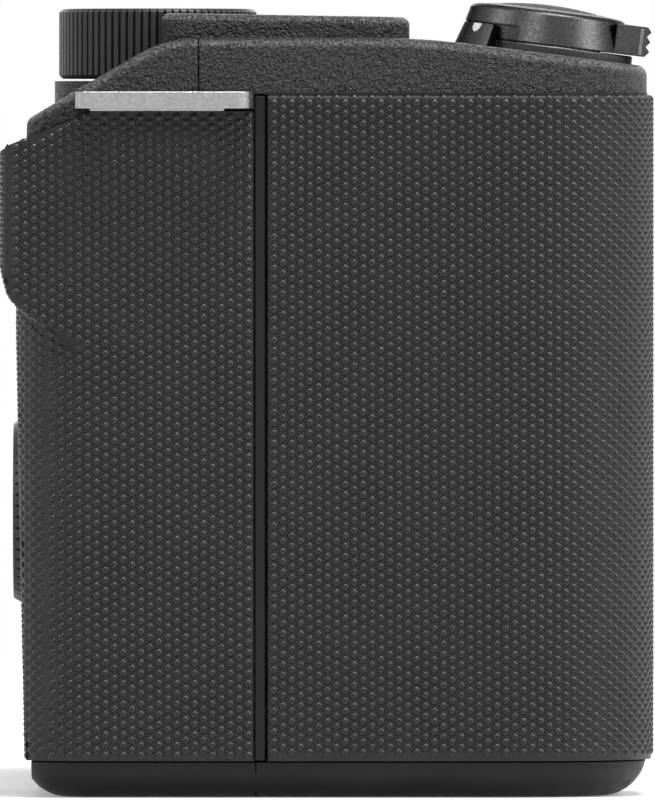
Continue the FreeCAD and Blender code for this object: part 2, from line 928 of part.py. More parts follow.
def thumb_block():
    """Raised rest: rounded corner and inner ramp from above, sloping underside from the side."""
    side, depth = float(s.grip_side) + float(s.rubber_proud), float(s.thumb_depth)
    front, inner = float(s.thumb_front), float(s.thumb_inner)
    skin = float(s.rear_high) + float(s.rubber_proud) / 2
    plan = [(-side, front, 0), (-inner, front, 0), (-inner, skin, 0),
            (-inner - float(s.thumb_ramp), depth, float(s.thumb_ramp_round)),
            (-side, depth, float(s.thumb_corner))]
    low, ramp = float(s.thumb_low), float(s.thumb_ramp_top)
    top, turn = float(s.rear_rubber_top), float(s.rear_rubber_slope_start)
    drop = (depth - turn) * math.tan(math.radians(float(s.rear_rubber_slope)))
    under, lip = depth - float(s.thumb_under_depth), depth - float(s.thumb_lip_depth)
    profile = [(front, low - float(s.thumb_under_slope), 0), (under, low, 0.6),
               (lip, low + float(s.thumb_lip_rise), 2),
               (depth, ramp, 4), (depth, top - drop, 1.0), (turn, top, 0), (front, top, 0)]
    return prism(plan, 0, FAR).common(side_prism(profile, -FAR, 0))


def front_grip_rubber():
    """Rubber of the grip's side and front, its outer top edge rounded."""
    skin = solid_of(hull(-float(s.rubber_proud)).common(front_rubber_zone(0)).cut(bed))
    top = skin.BoundBox.ZMax
    middle = Vector(-(float(s.grip_side) + float(s.grip_inner)) / 2, -float(s.seat_radius), top)
    edges = []
    for edge in skin.Edges:
        if edge.BoundBox.ZMin < top - EPSILON or edge.Length < 2:
            continue
        outward = edge.CenterOfMass - middle
        for face in skin.ancestorsOfType(edge, Part.Face):
            u, v = face.Surface.parameter(edge.CenterOfMass)
            normal = face.normalAt(u, v)
            if abs(normal.z) < 0.1 and normal.dot(outward) > 0:
                edges.append(edge)
    return shaped("front_grip_rubber", skin.makeFillet(float(s.rubber_edge_round), edges))


def rear_grip_rubber():
    skin = hull(-float(s.rubber_proud)).common(rear_rubber_zone(0))
    skin = skin.fuse(thumb_block().common(rear_rubber_zone(0))).cut(bed)
    return shaped("rear_grip_rubber", solid_of(skin))


def trim_zone(margin):
    low = (-FAR, float(s.depth_split) + half_seam, float(s.base_split) + half_seam)
    high = (-float(s.grip_side) + float(s.trim_root), float(low[1]) + float(s.trim_width),
            float(s.top_split) - half_seam)
    return grown(low, high, margin)


def grip_trim_strip():
    gap = float(s.rubber_gap)
    strip = hull(-float(s.trim_proud)).common(trim_zone(-gap)).cut(hull(float(s.trim_bed)))
    return shaped("grip_trim_strip", solid_of(strip))


# Openings that several covers share.

def mount_drum(margin, low=-40.0, high=-5.0):
    centre = (0, low, s.mount_level)
    return drum(s.boss_radius + margin, high - low, centre, Y)


def plateau_corners(inset):
    grip, port = float(s.plateau_grip_end), float(s.plateau_port_end)
    front, rear = float(s.plateau_front), float(s.plateau_rear)
    front_corner = float(s.plateau_front_corner)
    outline = [(-grip, rear, float(s.plateau_grip_corner)), (-grip, -front, front_corner),
               (port, -front, front_corner), (port, rear, float(s.plateau_port_corner))]
    return offset_corners(outline, inset)


def plateau(inset, low):
    """Raised block whose top leans a little, cut hollow for the dial elsewhere."""
    shape = prism(plateau_corners(inset), low, FAR)
    front, rear = -float(s.plateau_front), float(s.plateau_rear)
    climb = (float(s.plateau_rear_level) - float(s.plateau_front_level)) / (rear - front)
    reach = 20.0
    profile = [(front - reach, 0, 0), (rear + reach, 0, 0),
               (rear + reach, float(s.plateau_rear_level) + reach * climb, 0),
               (front - reach, float(s.plateau_front_level) - reach * climb, 0)]
    return shape.common(side_prism(profile, -FAR, FAR))


def dial_drum(radius, low, high=FAR):
    return drum(radius, high - low, (-s.dial_offset, s.dial_depth, low))


def deck_at(depth):
    """Height of the falling nose of the deck at a depth on the lens side."""
    nose = math.tan(math.radians(float(s.nose_angle)))
    return float(s.deck_level) + (depth + float(s.nose_start)) * nose


def lug_front(side):
    return s.lug_front if side < 0 else s.lug_front_port


def lug_slot(side):
    """Notch in the covers around one strap lug and its narrower step."""
    face = -float(s.grip_side) if side < 0 else float(s.port_side)
    gap, outer = float(s.lug_gap), face + side * 10
    root = face - side * (float(s.lug_root) + 2 * gap)
    step_root = face - side * (float(s.lug_step_root) + 2 * gap)
    front, level = float(lug_front(side)), float(s.lug_level)
    rear = front + float(s.lug_length)
    plate = block((min(root, outer), front - gap, level - gap),
                  (max(root, outer), rear + gap, level + float(s.lug_thick) + gap))
    step = block((min(step_root, outer), front + float(s.lug_step_front) - gap,
                  level - float(s.lug_step_drop) - gap),
                 (max(step_root, outer), rear - float(s.lug_step_rear) + gap, level + gap))
    return plate.fuse(step)


# Positions of the controls: across, depth, cap radius and how far the cap stands proud.

TOP_BUTTONS = {
    "record_button": (-43.0, -15.0, 3.1, 0.35),
    "custom_button": (-44.6, -1.0, 2.5, 0.0),
    "mode_button": (-36.2, -1.0, 2.5, 0.0),
}
# Across and above the axis of the control wheel.
BACK_BUTTONS = {
    "function_button": (-7.0, 11.4),
    "menu_button": (7.0, 11.4),
    "playback_button": (-7.0, -15.2),
    "delete_button": (7.0, -15.2),
}
BASE_SCREWS = [(across, depth) for across in (-float(s.base_screw_grip), float(s.base_screw_port))
               for depth in (-float(s.base_screw_front), float(s.base_screw_rear))]


def plateau_level(depth):
    front, rear = -float(s.plateau_front), float(s.plateau_rear)
    climb = (float(s.plateau_rear_level) - float(s.plateau_front_level)) / (rear - front)
    return float(s.plateau_front_level) + (depth - front) * climb


def top_button_level(name):
    depth = TOP_BUTTONS[name][1]
    return plateau_level(depth) if depth > -float(s.plateau_front) else deck_at(depth)


def top_button_rotation(name):
    """Buttons on the falling nose lean with it; those on the plateau stand upright."""
    return UP if TOP_BUTTONS[name][1] > -float(s.plateau_front) else shutter_rotation()


def back_face(level):
    """Depth of the rear face at a level."""
    lean = (float(s.rear_high) - float(s.rear_low)) / float(s.rear_high_level)
    return min(float(s.rear_low) + level * lean, float(s.rear_high))


def back_button_centre(name):
    across, above = BACK_BUTTONS[name]
    return -float(s.wheel_offset) + across, float(s.wheel_level) + above


def shutter_rotation():
    return Rotation(X, float(s.nose_angle))


def shutter_point(height=0.0):
    centre = Vector(-float(s.shutter_offset), -float(s.shutter_depth), deck_at(-float(s.shutter_depth)))
    return centre + shutter_rotation().multVec(Vector(0, 0, height))


# Covers.

def cover_zone_front(margin):
    low = (-FAR, -FAR, float(s.base_split) + half_seam)
    high = (FAR, float(s.depth_split) - half_seam, float(s.top_split) - half_seam)
    return grown(low, high, margin).fuse(mount_drum(margin))


def cover_zone_top(margin):
    low = (-FAR, -FAR, float(s.top_split) + half_seam)
    high = (FAR, float(s.shoulder_split) - half_seam, FAR)
    zone = grown(low, high, margin)
    zone = zone.fuse(plateau(-margin, float(s.top_split) + half_seam - margin))
    zone = zone.fuse(dial_drum(float(s.dial_base_radius) + margin, float(s.top_split) - 2))
    return zone.cut(mount_drum(float(s.seam) - margin))


def monitor_recess(margin):
    """Room of the folded monitor, open to the port side and to the rear."""
    gap = float(s.monitor_gap) + margin
    low = (-float(s.monitor_inner) - gap, float(s.recess_floor) - margin, float(s.monitor_low) - gap)
    high = (FAR, FAR, float(s.monitor_high) + gap)
    return block(low, high)


def rubber_beds():
    gap = float(s.rubber_gap)
    zones = front_rubber_zone(gap).fuse(rear_rubber_zone(gap))
    strip = trim_zone(0).cut(hull(float(s.trim_bed)))
    return [zones.cut(bed), strip, lug_slot(-1), lug_slot(1)]


def front_cover():
    shape = outside.common(cover_zone_front(0))
    boss = mount_drum(0, -float(s.boss_front), -float(s.cover_front) + 2)
    shape = shape.fuse(boss).cut(inside)
    front_side = block((-FAR, -FAR, 0), (FAR, float(s.depth_split) - half_seam, FAR))
    shape = shape.fuse(split_tongue().common(front_side))
    cuts = rubber_beds()
    cuts.append(drum(s.mount_radius + s.mount_gap, 20, (0, -20, s.mount_level), Y))
    cuts.append(drum(s.release_radius + s.release_gap, 12, (s.release_across, -16, s.release_level), Y))
    cuts.append(drum(s.lamp_radius, 12, (s.release_across, -16, s.lamp_level), Y))
    return shaped("front_cover", solid_of(shape.cut(cuts)))


def top_cover():
    wall = float(s.wall)
    shape = outside.common(cover_zone_top(0)).cut(inside)
    raised = plateau(0, float(s.deck_level) - wall)
    edges = [edge for edge in raised.Edges
             if edge.BoundBox.ZMin > float(s.plateau_front_level) - 1 and edge.BoundBox.ZLength < 0.5]
    raised = raised.makeFillet(float(s.plateau_round), edges)
    floor = float(s.dial_base_level)
    well_radius = float(s.dial_base_radius) + float(s.dial_well_gap)
    cup = dial_drum(well_radius + wall, floor - wall, float(s.deck_level) - 1)
    cup = cup.common(block((-FAR, -FAR, 0), (FAR, float(s.shoulder_split) - half_seam, FAR)))
    base = dial_drum(float(s.dial_base_radius), floor - float(s.dial_base_tall), floor)
    shape = shape.fuse([raised, cup, base])
    cuts = [dial_drum(well_radius, floor), dial_drum(float(s.dial_shaft_radius) + float(s.shaft_gap), 0)]
    cuts += [block(*shoe_box()), block(*grille_box(0)), switch_slot()]
    for name, (across, depth, radius, _) in TOP_BUTTONS.items():
        direction = top_button_rotation(name).multVec(Z)
        centre = Vector(across, depth, top_button_level(name))
        collar = radius + float(s.button_collar) + float(s.collar_gap)
        cuts.append(drum(radius + float(s.button_gap), 14, centre - direction * 12, direction))
        cuts.append(drum(collar, 12 - wall - 0.5, centre - direction * 12, direction))
    well_size = s.button_well + s.seat_tube + s.socket_gap
    well = drum(well_size, 12, shutter_point(-8), shutter_rotation().multVec(Z))
    cuts += [well] + rubber_beds()
    return shaped("top_cover", solid_of(shape.cut(cuts)))


def shoe_box():
    """Pocket of the hot shoe, open to the rear of the plateau."""
    floor = float(s.plateau_front_level) - float(s.shoe_rail) - float(s.shoe_height)
    half = float(s.shoe_slot) / 2 + float(s.shoe_side)
    centre = float(s.shoe_offset)
    low = (centre - half, -float(s.shoe_front), floor - float(s.shoe_floor))
    high = (centre + half, float(s.plateau_rear) + 1.5, FAR)
    return low, high


def grille_box(margin):
    """Corners of the microphone grille's pocket, moved inwards by the margin."""
    low = (-float(s.grille_grip_end) + margin, -float(s.grille_front) + margin,
           float(s.deck_level) - float(s.grille_root))
    return low, (float(s.grille_port_end) - margin, float(s.grille_rear) - margin, FAR)


def switch_box(half_long, half_deep, drop):
    """Block about the middle of the power switch, from a drop below the plateau upwards."""
    across, depth = -float(s.switch_across), -float(s.switch_back)
    level = plateau_level(depth)
    return block((across - half_long, depth - half_deep, level - drop),
                 (across + half_long, depth + half_deep, FAR))


def switch_slot():
    half_deep = float(s.switch_half_deep) + float(s.switch_gap)
    return switch_box(float(s.switch_slot_half), half_deep, float(s.switch_slot_deep))


def rear_cover():
    wall = float(s.wall)
    rear_side = block((-FAR, float(s.depth_split) + half_seam, float(s.base_split) + half_seam),
                      (FAR, FAR, FAR))
    shape = outside.common(rear_side).cut(cover_zone_top(float(s.seam)))
    shape = shape.cut(inside.cut(monitor_recess(wall)))
    shape = shape.cut(monitor_recess(0))
    tongue = split_tongue().common(rear_side)
    shape = shape.fuse(tongue.cut(dial_drum(float(s.dial_base_radius) + float(s.seam), 0)))
    well_floor = float(s.wheel_hub) - float(s.wheel_float)
    well_radius = float(s.wheel_radius) + float(s.wheel_gap)
    cup_wall = float(s.wheel_cup)
    across, level = -float(s.wheel_offset), float(s.wheel_level)
    cup = drum(well_radius + cup_wall, FAR, (across, well_floor - cup_wall, level), Y)
    shape = shape.fuse(cup.common(outside))
    cuts = rubber_beds()
    cuts.append(drum(well_radius, FAR, (across, well_floor, level), Y))
    cuts.append(drum(s.centre_stem + s.centre_stem_gap, FAR, (across, 15, level), Y))
    for name in BACK_BUTTONS:
        across, level = back_button_centre(name)
        cuts.append(drum(s.back_button_radius + s.button_gap, 12, (across, 16, level), Y))
    for low, high in port_openings():
        cuts.append(block(low, high))
    return shaped("rear_cover", solid_of(shape.cut(cuts)))


def port_openings():
    """Clear space of both port doors and of the panel behind them."""
    inner = float(s.port_side) - float(s.wall) - float(s.port_setback)
    gap = float(s.port_door_gap)
    spans = ((s.upper_port_low, s.upper_port_high), (s.lower_port_low, s.lower_port_high))
    return [((inner, float(s.port_front) - gap, float(low) - gap),
             (FAR, float(s.port_rear) + gap, float(high) + gap)) for low, high in spans]


def door_axis():
    """Across and level of the battery door's hinge."""
    return -float(s.door_hinge_side) - float(s.door_barrel), float(s.door_barrel)


def bottom_door_corners(inset):
    grip, inner, hinge = float(s.door_grip_side), float(s.door_inner), float(s.door_hinge_side)
    front, step, rear = float(s.door_front), float(s.door_step), float(s.door_rear)
    outline = [(-grip, rear, 2.0), (-grip, -front, float(s.door_front_round)), (-inner, -front, 3.0),
               (-inner, -step, 2.0), (-hinge, -step, 1.5), (-hinge, rear, 1.5)]
    return offset_corners(outline, inset)


def bottom_cover():
    zone = block((-FAR, -FAR, -5), (FAR, FAR, float(s.base_split) - half_seam))
    shape = outside.common(zone).cut(inside).cut(mount_drum(float(s.seam)))
    gap = float(s.door_gap)
    outline = bottom_door_corners(-gap)
    cuts = [prism(outline, -5, 20)]
    hinge_front, hinge_rear = outline[4][1], outline[5][1]
    across = door_axis()[0]
    cuts.append(block((across - 2, hinge_front, -5), (outline[4][0], hinge_rear, 20)))
    cuts.append(drum(s.socket_flange + s.socket_gap, 20, (0, 0, -5)))
    cuts.append(door_pin(0))
    head, shank = s.base_screw_head + s.base_screw_gap, s.base_screw_shank + s.base_screw_gap
    for screw_across, depth in BASE_SCREWS:
        floor = s.base_screw_sunk + s.base_screw_tall + s.base_screw_gap
        cuts.append(drum(head, floor + 1, (screw_across, depth, -1)))
        cuts.append(drum(shank, 20, (screw_across, depth, -5)))
    groove, wide = float(s.base_groove_depth), float(s.seam)
    cuts.append(block((-FAR, groove, -5), (FAR, groove + wide, 0.5)))
    cuts.append(block((-FAR, groove, -5), (-float(s.grip_side) + 0.5, groove + wide, 10)))
    return shaped("bottom_cover", solid_of(shape.cut(cuts)))


def door_pin(gap):
    """Hinge pin of the battery door, held by the base at both ends."""
    across, level = door_axis()
    inset = float(s.door_pin_inset)
    start, end = -float(s.door_step) - inset, float(s.door_rear) + inset
    return drum(s.door_pin + gap, end - start, (across, start, level), Y)


# Strap lugs.

def strap_lug(name, side):
    """Flat loop with a slot for the strap, over a thinner step."""
    face = -s.grip_side if side < 0 else s.port_side
    length, outer = s.lug_length, s.lug_reach * side
    body = new_body(name, (face, lug_front(side), s.lug_level))
    ends = sorted((outer, -s.lug_root * side), key=float)
    loop = pad(body, name + "_plate", rectangle(ends[0], 0, ends[1], length), s.lug_thick)
    front_round = round_corners(body, name + "_front_round", loop, [(outer, 0)], s.lug_front_round)
    round_corners(body, name + "_rear_round", front_round, [(outer, length)], s.lug_rear_round)
    slot = sorted((s.lug_slot_start * side, (s.lug_slot_start + s.lug_slot_wide) * side), key=float)
    end = s.lug_slot_end
    pocket(body, name + "_slot", 10, 5, corners=rectangle(slot[0], end, slot[1], length - end))
    step = sorted((-s.lug_step_root * side, s.lug_step_reach * side), key=float)
    corners = rectangle(step[0], s.lug_step_front, step[1], length - s.lug_step_rear)
    pad(body, name + "_step", corners, s.lug_step_tall, height=-s.lug_step_drop)
    return body


# Lens mount and what is behind it.

def polar(radius, degrees, depth):
    """Point in front view around the lens axis, degrees from the port side upwards."""
    turn = math.radians(degrees)
    return (float(radius) * math.cos(turn), depth, float(s.mount_level) + float(radius) * math.sin(turn))


def sector(middle, half_width, low, high):
    """Wedge about the lens axis between two depths, angles as in polar."""
    level = float(s.mount_level)
    points = [Vector(0, low, level)]
    steps = 4
    for step in range(steps + 1):
        angle = middle - half_width + 2 * half_width * step / steps
        points.append(vector(polar(60, angle, low)))
    face = Part.Face(Part.makePolygon(points + points[:1]))
    return face.extrude(Vector(0, high - low, 0))


MOUNT_SCREW_ANGLES = (45, 135, 225, 300)
TAB_ANGLES = (90, 210, 330)
TAB_HALF_WIDTH = 29
LOCK_ANGLE = -20
CONTACTS = 10
CONTACT_PITCH_ANGLE = 5.0
CONTACT_ARC_HALF_ANGLE = 28


def lens_mount_ring():
    """Bayonet ring: seat face, groove and three tabs that reach in to the throat."""
    flange, seat = float(s.flange_depth), float(s.mount_seat)
    centre = (0, -flange, s.mount_level)
    chamfer = float(s.mount_chamfer)
    lip = Part.makeCone(float(s.mount_radius) - chamfer, float(s.mount_radius), chamfer, vector(centre), Y)
    ring = drum(s.mount_radius, flange - seat - chamfer, (0, chamfer - flange, s.mount_level), Y).fuse(lip)
    ring = ring.cut(drum(s.groove_radius, FAR, (0, -FAR / 2, s.mount_level), Y))
    tabs = drum(s.groove_radius + s.tab_root, s.tab_thickness, centre, Y)
    tabs = tabs.cut(drum(s.throat_radius, FAR, (0, -FAR / 2, s.mount_level), Y))
    for middle in TAB_ANGLES:
        ring = ring.fuse(tabs.common(sector(middle, TAB_HALF_WIDTH, -FAR, 0)))
    ring = ring.removeSplitter()
    for angle in MOUNT_SCREW_ANGLES:
        point = vector(polar(s.screw_circle, angle, -flange))
        gap = float(s.screw_head_gap)
        head, shank = float(s.screw_head) + gap, float(s.screw_shank) + gap
        sink = Part.makeCone(head, shank, float(s.screw_head_tall), point, Y)
        ring = ring.cut(sink).cut(drum(shank, FAR, point, Y))
    ring = ring.cut(lock_hole())
    return shaped("lens_mount_ring", solid_of(ring))


def lens_mount_screws():
    """Four countersunk screws with their shanks in the chassis."""
    pieces = []
    for angle in MOUNT_SCREW_ANGLES:
        point = vector(polar(s.screw_circle, angle, -s.flange_depth + s.screw_head_gap))
        head = Part.makeCone(float(s.screw_head), float(s.screw_shank), float(s.screw_head_tall), point, Y)
        screw = head.fuse(drum(s.screw_shank, s.screw_long, point, Y))
        long, slot = float(s.screw_slot_long), float(s.screw_slot_wide)
        deep = float(s.screw_slot_deep)
        cross = []
        for wide, tall in ((long, slot), (slot, long)):
            half = Vector(wide / 2, 0, tall / 2)
            cross.append(Part.makeBox(wide, deep, tall, point - half))
        pieces.append(screw.cut(cross).removeSplitter().Solids[0])
    return shaped("lens_mount_screws", Part.makeCompound(pieces))


def lock_hole():
    """Hole of the pin that locks a lens on the mount."""
    start = vector(polar(s.lock_circle, LOCK_ANGLE, -20))
    return drum(s.lock_radius + s.lock_gap, 14, start, Y)


def chamber_half(margin):
    return float(s.chamber_wide) + margin, float(s.chamber_tall) + margin


def chassis():
    """Cast frame: front plate with the mount boss, sensor chamber, side arms and floor."""
    level, seat = float(s.mount_level), float(s.mount_seat)
    grip, port = -float(s.frame_grip_end), float(s.frame_port_end)
    front_y, back_y = -float(s.frame_front), -float(s.frame_back)
    low, high = float(s.frame_low), float(s.frame_high)
    floor_low = float(s.frame_floor_low)
    arm, arm_rear, inner = float(s.frame_arm), float(s.frame_arm_rear), float(s.frame_arm_inner)
    plate = block((grip, front_y, low), (port, back_y, high))
    wide, tall = chamber_half(float(s.chamber_wall))
    chamber_back = float(s.register) - float(s.flange_depth) + float(s.chamber_back)
    chamber = block((-wide, back_y - 1, level - tall), (wide, chamber_back, level + tall))
    floor_high = floor_low + float(s.frame_floor)
    floor = block((grip, front_y, floor_low), (port, float(s.frame_floor_rear), floor_high))
    port_arm = block((inner, front_y, floor_low), (inner + arm, arm_rear, high))
    grip_arm = block((grip, front_y, floor_low), (grip + arm, arm_rear, high))
    web_half = float(s.frame_web)
    web = block((-web_half, front_y, floor_low), (web_half, back_y, 2 * low))
    shape = plate.fuse([chamber, floor, port_arm, grip_arm, web])
    groove_end = back_y + float(s.frame_groove)
    boss = drum(s.mount_radius - s.frame_boss_gap, groove_end + s.frame_boss_back + seat, (0, -seat, level), Y)
    shape = shape.common(hull(float(s.wall) + float(s.frame_gap))).fuse(boss)
    wide, tall = chamber_half(0)
    cuts = [block((-wide, -20, level - tall), (wide, 20, level + tall)), lock_hole()]
    cuts.append(drum(s.groove_radius + s.mount_gap, seat + groove_end + 1, (0, -seat - 1, level), Y))
    cuts.append(drum(s.socket_radius + s.socket_gap, 20, (0, 0, -5)))
    for angle in MOUNT_SCREW_ANGLES:
        cuts.append(drum(s.screw_shank, 10, polar(s.screw_circle, angle, -seat - 5), Y))
    release, release_level = float(s.release_across), float(s.release_level)
    rim = s.release_radius + s.release_rim
    cuts.append(drum(rim + 0.4, 20, (release, -20, release_level), Y))
    room = float(rim) + 5
    lock_side = vector(polar(s.lock_circle, LOCK_ANGLE, 0)).x - float(s.lock_radius + s.lock_gap)
    cuts.append(block((lock_side, back_y - 0.01, low + 8), (release + room, 0, release_level + 9)))
    cuts.append(drum(s.lamp_radius + 0.4, 20, (release, -20, s.lamp_level), Y))
    for across, depth in BASE_SCREWS:
        cuts.append(drum(s.base_screw_shank, 20, (across, depth, -5)))
    return shaped("chassis", solid_of(shape.cut(cuts)))


def lens_contact_block():
    """Arc-shaped holder of the lens contacts, low in the throat, with a wider foot behind."""
    front, step, back = (-float(size) for size in (s.contact_nose_front, s.contact_step, s.contact_back))
    level = s.mount_level
    nose = drum(s.throat_radius - s.contact_nose_gap, step - front, (0, front, level), Y)
    foot = drum(s.groove_radius - s.contact_foot_gap, back - step, (0, step, level), Y)
    hollow = drum(s.contact_circle - s.contact_arc_half, 20, (0, -20, level), Y)
    arc = nose.fuse(foot).cut(hollow).common(sector(-90, CONTACT_ARC_HALF_ANGLE, -20, 0))
    holes = []
    for index in range(CONTACTS):
        start = polar(s.contact_circle, contact_angle(index), -20)
        holes.append(drum(s.contact_radius, 20, start, Y))
    return shaped("lens_contact_block", solid_of(arc.cut(holes)))


def contact_angle(index):
    return -90 + (index - (CONTACTS - 1) / 2) * CONTACT_PITCH_ANGLE


def lens_contact_pins():
    """Contacts that stand a little out of their block."""
    pins = []
    for index in range(CONTACTS):
        start = polar(s.contact_circle, contact_angle(index), -s.contact_front)
        pins.append(drum(s.contact_radius, s.contact_long, start, Y))
    return shaped("lens_contact_pins", Part.makeCompound(pins))


def around_axis(name, wide, tall, front, back):
    """Box about the lens axis between two depths."""
    return box(name, (-wide, front, s.mount_level - tall), (wide, back, s.mount_level + tall))


def sensor_parts():
    plane = s.register - s.flange_depth
    wide, tall = s.chamber_wide - s.sensor_clear, s.chamber_tall - s.sensor_clear
    thick, margin = s.sensor_thick, s.sensor_board_margin
    package = around_axis("sensor_package", wide, tall, plane - thick, plane + thick)
    cavity = around_axis("sensor_cavity", s.sensor_wide, s.sensor_tall, plane - 2 * thick, plane)
    subtract("image_sensor", package, [cavity])
    wide, tall = s.sensor_wide + s.glass_margin, s.sensor_tall + s.glass_margin
    around_axis("sensor_cover_glass", wide, tall, plane - thick - s.glass_thick, plane - thick)
    wide, tall = s.chamber_wide + margin, s.chamber_tall + margin
    around_axis("sensor_board", wide, tall, plane + thick, plane + thick + s.board_thick)


# Chips of the main board: across and level of the low corner, width, height, thickness.
CHIPS = {
    "chip_processor": (-s.processor_left, s.processor_low, s.processor_side, s.processor_side,
                       s.processor_thick),
    "chip_memory": (s.memory_left, s.memory_low, s.memory_wide, s.memory_tall, s.memory_thick),
    "chip_power": (-s.power_chip_left, s.power_chip_low, s.power_chip_side, s.power_chip_side,
                   s.power_chip_thick),
}


def main_board():
    half = s.frame_grip_end - s.board_inset
    front, back = s.frame_arm_rear, s.frame_arm_rear + s.board_thick
    pieces = [box("board_plate", (-half, front, s.frame_low), (half, back, s.frame_high - s.board_drop))]
    for name, (across, level, wide, tall, thick) in CHIPS.items():
        pieces.append(box(name, (across, back, level), (across + wide, back + thick, level + tall)))
    return unite("main_board", pieces)


# Hot shoe, microphone.

def hot_shoe():
    low, high = shoe_box()
    centre, half = float(s.shoe_offset), float(s.shoe_slot) / 2
    gap, side = float(s.shoe_gap), float(s.shoe_side)
    floor = low[2] + float(s.shoe_floor)
    rear = float(s.plateau_rear) - float(s.shoe_rear_gap)
    left, right, front = low[0] + gap, high[0] - gap, low[1] + gap
    pad_half, inset = float(s.shoe_pad_half), float(s.shoe_pad_inset)
    tall = float(s.shoe_contact_tall)
    base = block((left, front, low[2]), (right, rear, floor))
    base = base.fuse(block((centre - pad_half, low[1] + inset, floor),
                           (centre + pad_half, rear - inset, floor + tall)))
    under = floor + float(s.shoe_height)
    frame = block((left, front, floor), (right, rear, under + float(s.shoe_rail)))
    frame = frame.cut(block((centre - half, front + side, floor - 1), (centre + half, FAR, under)))
    mouth = float(s.shoe_mouth) / 2
    frame = frame.cut(block((centre - mouth, front + side, floor - 1), (centre + mouth, FAR, FAR)))
    shaped("hot_shoe_rails", solid_of(frame))
    start = floor + tall - 0.1
    contacts = [drum(s.shoe_contact_radius, tall, (centre, s.shoe_contact_depth, start))]
    pin_half, pin_front = float(s.shoe_pin_wide) / 2, low[1] + float(s.shoe_pin_start)
    for index in range(-4, 5):
        x = centre + index * float(s.shoe_pin_pitch)
        contacts.append(block((x - pin_half, pin_front, start),
                              (x + pin_half, pin_front + float(s.shoe_pin_long), start + tall)))
    shaped("hot_shoe_base", solid_of(base.fuse(contacts)))


def microphone():
    """Slotted grille of the microphones."""
    low, high = grille_box(float(s.grille_gap))
    middle_depth = (low[1] + high[1]) / 2
    top = plateau_level(middle_depth) - float(s.grille_sunk)
    shape = block(low, (high[0], high[1], top))
    pitch, half, edge = float(s.grille_pitch), float(s.grille_slot) / 2, float(s.grille_edge)
    middle = (low[0] + high[0]) / 2
    side_slots = int((high[0] - low[0] - 2 * edge) / pitch / 2)
    slots = []
    for index in range(-side_slots, side_slots + 1):
        x = middle + index * pitch
        slots.append(block((x - half, low[1] + edge, top - float(s.grille_slot_deep)),
                           (x + half, high[1] - edge, FAR)))
    shaped("microphone_grille", solid_of(shape.cut(slots)))


# Controls of the top.

def rear_dial():
    """Dial with a straight knurl, a chamfered rim and a shaft that is headed below the base."""
    radius, low = s.dial_radius, s.dial_base_level + s.dial_gap
    tall, shaft, head = s.dial_top - low, s.dial_shaft_radius, s.dial_shaft_head
    long, chamfer, rim, dish = s.dial_shaft_long, s.dial_chamfer, s.dial_rim, s.dial_dish
    profile = [(0, -long - s.shaft_head_tall), (head, -long - s.shaft_head_tall), (head, -long), (shaft, -long),
               (shaft, 0), (radius - chamfer, 0), (radius, chamfer), (radius, tall - chamfer),
               (radius - chamfer, tall), (radius - rim, tall), (radius - rim - chamfer, tall - dish),
               (0, tall - dish)]
    body = turned("rear_dial", profile, (-s.dial_offset, s.dial_depth, low))
    doc.recompute()
    half = s.dial_groove_half
    tooth = [(-half, radius + 0.2), (0, radius - s.dial_knurl_depth), (half, radius + 0.2)]
    cut = pocket(body, "knurl_groove", tall, tall + 0.1, corners=tooth)
    return repeat_around(body, "knurl", cut, s.dial_teeth)


def repeat_around(body, name, cut, count):
    """Repeat one cut evenly about the body's own axis."""
    pattern = body.newObject("PartDesign::PolarPattern", name)
    pattern.Originals = [cut]
    pattern.Axis = (origin_axis(body, "Z_Axis"), [""])
    pattern.Angle = 360
    pattern.Occurrences = int(float(count))
    body.Tip = pattern
    doc.recompute()
    return body


DOME_STEPS = 5


def origin_axis(body, role):
    return [item for item in body.Origin.OriginFeatures if item.Role == role][0]


def sector_drum(name, kind, half_width, height, base, **sizes):
    """Sector of a cylinder or a cone about the shutter's axis, centred on the index mark."""
    thing = made(kind, name)
    bind(thing, Height=height, Angle=2 * half_width, **sizes)
    start = 90 + float(s.index_angle) - float(half_width)
    point = shutter_point(float(base))
    thing.Placement = Placement(point, shutter_rotation() * Rotation(Z, start))
    return thing


def soften_corners(name, sector_thing, height, radius):
    """Round the two straight top edges of a sector."""
    doc.recompute()
    origin, back = shutter_point(), shutter_rotation().inverted()
    edges = []
    for number, edge in enumerate(sector_thing.Shape.Edges, start=1):
        levels = [back.multVec(vertex.Point - origin).z for vertex in edge.Vertexes]
        straight = isinstance(edge.Curve, (Part.Line, Part.LineSegment))
        if straight and all(abs(level - float(height)) < 0.001 for level in levels):
            edges.append((number, float(radius), float(radius)))
    rounded = made("Part::Fillet", name)
    rounded.Base = sector_thing
    rounded.Edges = edges
    return rounded


def crown_top():
    """Height of the lever ring's crowned face where it meets the button."""
    return s.ring_top + s.ring_shoulder_rise + s.ring_crown


def dome(radius, base, rise):
    """Corners of a domed face from its rim to its centre, for a turned profile."""
    shares = [1 - step / DOME_STEPS for step in range(1, DOME_STEPS)]
    return [(radius * share, base + rise * (1 - share ** 2)) for share in shares] + [(0, base + rise)]


